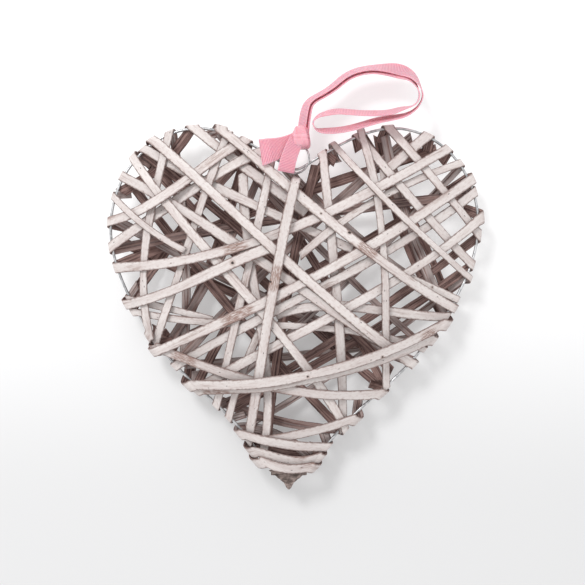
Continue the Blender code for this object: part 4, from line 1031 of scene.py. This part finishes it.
def ribbon_mesh(name, centre, vector, shift, start):
    """A ribbon: two faces RIBBON_THICKNESS apart, carried along the centre line."""
    ahead = np.gradient(centre, axis=0)
    normal = np.cross(vector, ahead)
    normal /= np.linalg.norm(normal, axis=1)[:, None]
    v = np.linspace(-1, 1, RIBBON_ACROSS)
    section = np.concatenate([np.stack([v, np.full(RIBBON_ACROSS, 0.5)], axis=1),
                              np.stack([v[::-1], np.full(RIBBON_ACROSS, -0.5)], axis=1)])
    across, height = section.T
    grid = (centre[:, None] + vector[:, None] * across[None, :, None]
            + normal[:, None] * height[None, :, None] * RIBBON_THICKNESS) + shift
    along = np.concatenate([[0.0], np.cumsum(np.linalg.norm(np.diff(centre, axis=0), axis=1))])
    uv = np.stack(np.broadcast_arrays(start + along[:, None], across[None, :] * RIBBON_WIDTH / 2), axis=-1)
    return grid_mesh(name, grid, uv)


def knot_shape(shift):
    """The knot: a squared egg with folds that gather towards its two throats."""
    theta = np.linspace(0.02, math.pi - 0.02, KNOT_STATIONS)[:, None]
    phi = (2 * math.pi * np.arange(KNOT_AROUND) / KNOT_AROUND)[None, :]
    x, y, z = np.sin(theta) * np.cos(phi), np.cos(theta) + 0 * phi, np.sin(theta) * np.sin(phi)
    shape = np.stack([x, y, z], axis=-1)
    squared = np.sign(shape) * abs(shape) ** KNOT_BOXINESS
    squared[..., 0] *= 1 - KNOT_TAPER * squared[..., 1]
    fold = 1 - KNOT_FOLD * (0.5 + 0.5 * np.sin(KNOT_GATHERS * phi + 3 * theta)) * np.sin(theta)
    grid = squared * fold[..., None] * np.array(KNOT_SIZE) / 2 + np.array(KNOT_CENTRE) + shift
    uv = np.stack(np.broadcast_arrays(theta * KNOT_SIZE[1] / 2, phi * KNOT_SIZE[0] / 2), axis=-1)
    return grid_mesh("ribbon_knot", grid, uv)


class Finish:
    """A Principled material and the nodes that feed it."""

    def __init__(self, name, roughness, metallic=0.0):
        self.material = bpy.data.materials.new(name)
        self.material.use_nodes = True
        self.tree = self.material.node_tree
        self.shader = self.tree.nodes["Principled BSDF"]
        self.shader.inputs["Roughness"].default_value = roughness
        self.shader.inputs["Metallic"].default_value = metallic

    def feed(self, socket, value):
        """Set a socket to a number or colour, or join it to another node's output."""
        if isinstance(value, bpy.types.NodeSocket):
            self.tree.links.new(value, socket)
        elif isinstance(value, tuple) and len(value) == 3 and socket.type == "RGBA":
            socket.default_value = (*value, 1.0)
        else:
            socket.default_value = value

    def node(self, kind, output=0, **inputs):
        """Add a node. Names that its type knows as settings are set, and the rest are its sockets."""
        made = self.tree.nodes.new(kind)
        for label, value in inputs.items():
            if hasattr(made, label) and label.islower():
                setattr(made, label, value)
        for label, value in inputs.items():
            if not (hasattr(made, label) and label.islower()):
                self.feed(made.inputs[int(label[1:]) if label[0] == "_" else label], value)
        return made.outputs[output]

    def sum(self, operation, a, b=0.0):
        """A Math node."""
        return self.node("ShaderNodeMath", operation=operation, _0=a, _1=b)

    def mix(self, share, a, b):
        """Mix two colours."""
        made = self.tree.nodes.new("ShaderNodeMix")
        made.data_type = "RGBA"
        self.feed(made.inputs[0], share)
        self.feed(made.inputs[6], a)
        self.feed(made.inputs[7], b)
        return made.outputs[2]

    def lay(self, base, colour, share, strength):
        """Lay a colour over a base, as strongly as the share times the strength."""
        return self.mix(self.sum("MULTIPLY", share, strength), base, colour)

    def stretched(self, vector, scale):
        """Multiply a vector by a scale on each axis."""
        return self.node("ShaderNodeVectorMath", operation="MULTIPLY", _0=vector, _1=scale)

    def noise(self, vector, detail=3.0, distortion=0.0):
        """Noise of scale 1 over a vector that is already scaled."""
        return self.node("ShaderNodeTexNoise", Vector=vector, Scale=1.0, Detail=detail, Distortion=distortion)

    def step(self, value, low, high):
        """0 below low, 1 above high, smooth between."""
        return self.node("ShaderNodeMapRange", interpolation_type="SMOOTHSTEP", Value=value,
                         **{"From Min": low, "From Max": high})

    def attribute(self, name):
        """Read a number kept on the piece's points."""
        return self.node("ShaderNodeAttribute", output=2, attribute_name=name)

    def relief(self, height, distance, strength=1.0):
        """Feed a bump of the height to the shader."""
        bump = self.node("ShaderNodeBump", Height=height, Distance=distance, Strength=strength)
        self.feed(self.shader.inputs["Normal"], bump)


def whitewashed_willow(knots):
    """Split willow: a mottled whitewashed outer face with specks, worn places, patches of painted shade and
    painted highlight, and brown split edges darkened with painted shade; and a brown inner face with painted
    shade along its edges.
    """
    wood = Finish("whitewashed_willow", 0.72)
    uv = wood.node("ShaderNodeUVMap", uv_map="along")
    names = ("tint", "outer", "edge", "bare", "washed")
    tint, outer, edge, bare, washed = (wood.attribute(name) for name in names)
    streak = wood.noise(wood.stretched(uv, (35.0, 620.0, 1.0)), 3.0, 0.4)
    fine = wood.noise(wood.stretched(uv, (260.0, 2200.0, 1.0)), 3.0)
    mottle = wood.noise(wood.stretched(uv, (420.0, 700.0, 1.0)), 3.0)
    broad = wood.noise(wood.stretched(uv, (32.0, 150.0, 1.0)), 3.0)
    wear = wood.noise(wood.stretched(uv, (22.0, 120.0, 1.0)), 4.0, 0.5)
    # Painted shade: broad random patches take the shaded copy of the whitewash
    white = wood.mix(wood.step(broad, 0.35, 0.68), WHITEWASH, WHITEWASH_PAINTED_SHADE)
    white = wood.lay(white, WHITEWASH_MOTTLE, wood.step(mottle, 0.48, 0.70), 0.45)
    # Painted highlight: fine streaks take the lit copy of the whitewash
    white = wood.lay(white, WHITEWASH_PAINTED_HIGHLIGHT, wood.step(fine, 0.50, 0.72), 0.55)
    grain = wood.sum("MULTIPLY", wood.step(streak, 0.55, 0.72), wood.step(broad, 0.42, 0.62))
    white = wood.lay(white, GRAIN_BROWN, grain, 0.60)
    white = wood.lay(white, GREYED, tint, 0.30)
    worn = wood.sum("MULTIPLY", wood.step(wear, 0.60, 0.70), 0.55)
    patch = wood.sum("ADD", bare, wood.sum("MULTIPLY", streak, 0.6))
    patch = wood.sum("MULTIPLY", wood.step(patch, 0.75, 1.0), 0.85)
    worn = wood.sum("MAXIMUM", worn, patch)
    white = wood.lay(white, WORN_BROWN, worn, wood.step(fine, 0.36, 0.56))
    # The brown of the split edge with painted shade, ragged along both edges of the outer face
    edge_brown_and_shade_mask = wood.sum("MULTIPLY", wood.sum("SUBTRACT", mottle, 0.5), 0.5)
    edge_brown_and_shade_mask = wood.sum("ADD", edge, edge_brown_and_shade_mask)
    white = wood.lay(white, EDGE_BROWN_AND_PAINTED_SHADE, wood.step(edge_brown_and_shade_mask, 0.66, 0.98), 0.85)
    speck = wood.node("ShaderNodeTexVoronoi", Vector=wood.stretched(uv, (110.0, 260.0, 1.0)), Scale=1.0)
    white = wood.lay(white, SPECK_BROWN, wood.step(speck, 0.10, 0.04), 0.9)
    uneven = wood.sum("MULTIPLY", wood.sum("SUBTRACT", mottle, 0.5), KNOT_UNEVENNESS)
    for place_along, place_across, size in knots:
        centre = (place_along, place_across, 0.0)
        away = wood.node("ShaderNodeVectorMath", output=1, operation="DISTANCE", _0=uv, _1=centre)
        away = wood.sum("ADD", away, uneven)
        white = wood.lay(white, KNOT_HALO, wood.step(away, size * 1.5, size * 0.4), 0.6)
        white = wood.mix(wood.step(away, size * 0.65, size * 0.35), white, KNOT_CORE)
    groove = wood.noise(wood.stretched(uv, (26.0, 900.0, 1.0)), 3.0, 0.3)
    brown = wood.mix(wood.step(groove, 0.36, 0.62), INNER_DARK, INNER_LIGHT)
    brown = wood.lay(brown, INNER_FLECK, wood.step(fine, 0.52, 0.72), 0.5)
    brown = wood.lay(brown, INNER_CLOUD, wood.step(broad, 0.45, 0.7), 0.60)
    paint = wood.sum("MULTIPLY", wood.step(washed, 0.55, 0.85), wood.step(streak, 0.35, 0.60))
    brown = wood.lay(brown, INNER_PAINT, paint, 0.75)
    # Painted shade along the inner face's edges
    brown = wood.lay(brown, INNER_EDGE_SHADE, wood.step(edge, 0.80, 1.0), 0.5)
    wood.feed(wood.shader.inputs["Base Color"], wood.mix(wood.step(outer, 0.25, 0.75), brown, white))
    depth = wood.sum("ADD", wood.sum("MULTIPLY", streak, 0.5), wood.sum("MULTIPLY", mottle, 0.5))
    wood.relief(depth, 0.00030, 0.7)
    return wood.material


def plain_finishes():
    """The other finishes: bark on the tip, zinc on the wire, ribbed pink ribbon with painted shade in its rib
    troughs, and the studio's paper, whose glow is painted light.
    """
    bark = Finish("brown_willow", 0.75)
    place = bark.node("ShaderNodeTexCoord", output=3)
    mottle = bark.noise(bark.stretched(place, (300.0, 500.0, 300.0)), 4.0)
    bark.feed(bark.shader.inputs["Base Color"],
              bark.mix(bark.step(mottle, 0.35, 0.7), BARK_DARK, BARK_LIGHT))
    bark.relief(mottle, 0.0006)

    zinc = Finish("galvanised_wire", 0.36, 1.0)
    place = zinc.node("ShaderNodeTexCoord", output=3)
    cloud = zinc.noise(zinc.stretched(place, (420.0, 420.0, 420.0)), 3.0)
    zinc.feed(zinc.shader.inputs["Base Color"],
              zinc.mix(zinc.step(cloud, 0.35, 0.65), ZINC_DARK, ZINC_LIGHT))

    pink = Finish("pink_grosgrain", 0.60)
    uv = pink.node("ShaderNodeUVMap", uv_map="along")
    ribs = pink.node("ShaderNodeTexWave", bands_direction="X", Vector=uv, Scale=RIB_SCALE, Distortion=0.3)
    thread = pink.noise(pink.stretched(uv, (700.0, 4200.0, 1.0)), 2.0)
    hem = pink.node("ShaderNodeSeparateXYZ", output=1, Vector=uv)
    hem = pink.step(pink.sum("ABSOLUTE", hem), RIBBON_WIDTH * HEM_FROM, RIBBON_WIDTH * HEM_TO)
    # Painted shade: the colour darkens into the troughs of the ribs
    colour = pink.mix(ribs, PINK_RIB_SHADE, PINK)
    colour = pink.lay(colour, PINK_THREAD, pink.step(thread, 0.4, 0.7), 0.35)
    colour = pink.lay(colour, PINK_HEM, hem, 0.5)
    pink.feed(pink.shader.inputs["Base Color"], colour)
    pink.shader.inputs["Sheen Weight"].default_value = 0.2
    pink.shader.inputs["Subsurface Weight"].default_value = 0.4
    pink.shader.inputs["Subsurface Radius"].default_value = (1.0, 0.22, 0.30)
    pink.shader.inputs["Subsurface Scale"].default_value = 0.004
    pink.relief(ribs, 0.0002, 0.7)

    paper = Finish("glowing_studio_paper", 0.95)
    paper.feed(paper.shader.inputs["Base Color"], PAPER)
    # Painted light: the paper glows, weakest below PAPER_DARK_BELOW and strongest above PAPER_WHITE_ABOVE
    # along Y
    paper.feed(paper.shader.inputs["Emission Color"], (1.0, 1.0, 1.0))
    height = paper.node("ShaderNodeSeparateXYZ", output=1, Vector=paper.node("ShaderNodeTexCoord", output=3))
    upper = paper.step(height, PAPER_DARK_BELOW, PAPER_WHITE_ABOVE)
    glow = paper.node("ShaderNodeMapRange", Value=upper, **{"To Min": PAPER_LOW_GLOW, "To Max": PAPER_GLOW})
    paper.feed(paper.shader.inputs["Emission Strength"], glow)
    paper.shader.inputs["Specular IOR Level"].default_value = 0.0
    return bark.material, zinc.material, pink.material, paper.material


def studio(shift, paper):
    """A pale floor that glows as painted light, a bright even sky, a broad key light and the camera straight
    above the heart.
    """
    mesh = bpy.data.meshes.new("studio_floor")
    corners = [(-FLOOR_HALF, -FLOOR_HALF, 0), (FLOOR_HALF, -FLOOR_HALF, 0), (FLOOR_HALF, FLOOR_HALF, 0),
               (-FLOOR_HALF, FLOOR_HALF, 0)]
    mesh.from_pydata(corners, [], [(0, 1, 2, 3)])
    mesh.materials.append(paper)
    floor = bpy.data.objects.new("studio_floor", mesh)
    bpy.context.collection.objects.link(floor)
    world = bpy.data.worlds.new("studio_sky")
    bpy.context.scene.world = world
    world.use_nodes = True
    sky = world.node_tree.nodes["Background"]
    sky.inputs["Color"].default_value = (1.0, 1.0, 1.0, 1.0)
    sky.inputs["Strength"].default_value = SKY_STRENGTH
    for name, place, size, power in LIGHTS:
        lamp = bpy.data.lights.new(name, "AREA")
        lamp.shape = "DISK"
        lamp.size = size
        lamp.energy = power
        light = bpy.data.objects.new(name, lamp)
        light.location = place
        light.rotation_euler = (-Vector(place)).to_track_quat("-Z", "Y").to_euler()
        bpy.context.collection.objects.link(light)
    lens = bpy.data.cameras.new("photo_camera")
    lens.sensor_width = SENSOR
    lens.lens = SENSOR * CAMERA_HEIGHT / PHOTO_WIDTH_M
    camera = bpy.data.objects.new("photo_camera", lens)
    camera.location = (shift[0] + PHOTO_CENTRE[0], shift[1] + PHOTO_CENTRE[1], shift[2] + CAMERA_HEIGHT)
    bpy.context.collection.objects.link(camera)
    bpy.context.scene.camera = camera
    bpy.context.scene.view_settings.view_transform = "Standard"


def world_shift(rim):
    """Return the step from the rim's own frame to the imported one, from the ring's place."""
    low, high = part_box("hanging_ring")
    middle = (np.array(low) + np.array(high)) / 2
    notch = rim.point(0)
    return middle - np.array([notch[0] + RING_SIDEWAYS, notch[1] + RING_RISE, 0.0])


def dress():
    """Make every visible piece and the studio."""
    bark, zinc, pink, paper = plain_finishes()
    winding, laid = wound_heart()
    shift = world_shift(winding.rim)
    marks = []
    meshes = {}
    for number, rows in laid:
        node = f"willow_lath_{number:02d}"
        meshes[node] = lath_mesh(f"{node}_dressed", rows, number, shift, marks)
    willow = whitewashed_willow(knot_places(marks))
    for node, mesh in meshes.items():
        put_in_scene(mesh.name, mesh, willow, [node])
    rim_path = np.column_stack([winding.rim.loop, np.zeros(len(winding.rim.loop))]) + shift
    ring_line = ring_path(winding.rim, RING_POINTS)[0] + shift
    wires = [("wire_heart", rim_path, WIRE_RADIUS), ("hanging_ring", ring_line, RING_WIRE_RADIUS)]
    for node, path, radius in wires:
        wire = round_wire(f"{node}_dressed", path, radius)
        put_in_scene(f"{node}_dressed", wire, zinc, [node])
    put_in_scene("tip_wrap_dressed", wrap_mesh(winding.rim, shift), bark, ["tip_wrap"])
    tails = tail_rows(winding)
    centre, vector = ribbon_route(winding, RIBBON_FINE_STEP)
    heights = smoothed(centre[:, 2:], RIDE_PASSES)
    centre = np.column_stack([centre[:, :2], heights])
    loop = put_in_scene("ribbon_loop", ribbon_mesh("ribbon_loop", centre, vector, shift, 0.0), pink,
                        ["ribbon"])
    parts = [put_in_scene("ribbon_knot", knot_shape(shift), pink, [])]
    for k, rows in enumerate(tails):
        name = f"ribbon_tail_{k + 1}"
        middles, halves = (np.array([row[part] for row in rows]) for part in (0, 1))
        mesh = ribbon_mesh(name, middles, halves, shift, RIBBON_UV_STEP * (k + 1))
        parts.append(put_in_scene(name, mesh, pink, []))
    length = np.linalg.norm(np.diff(centre, axis=0), axis=1).sum()
    studio(shift, paper)


dress()
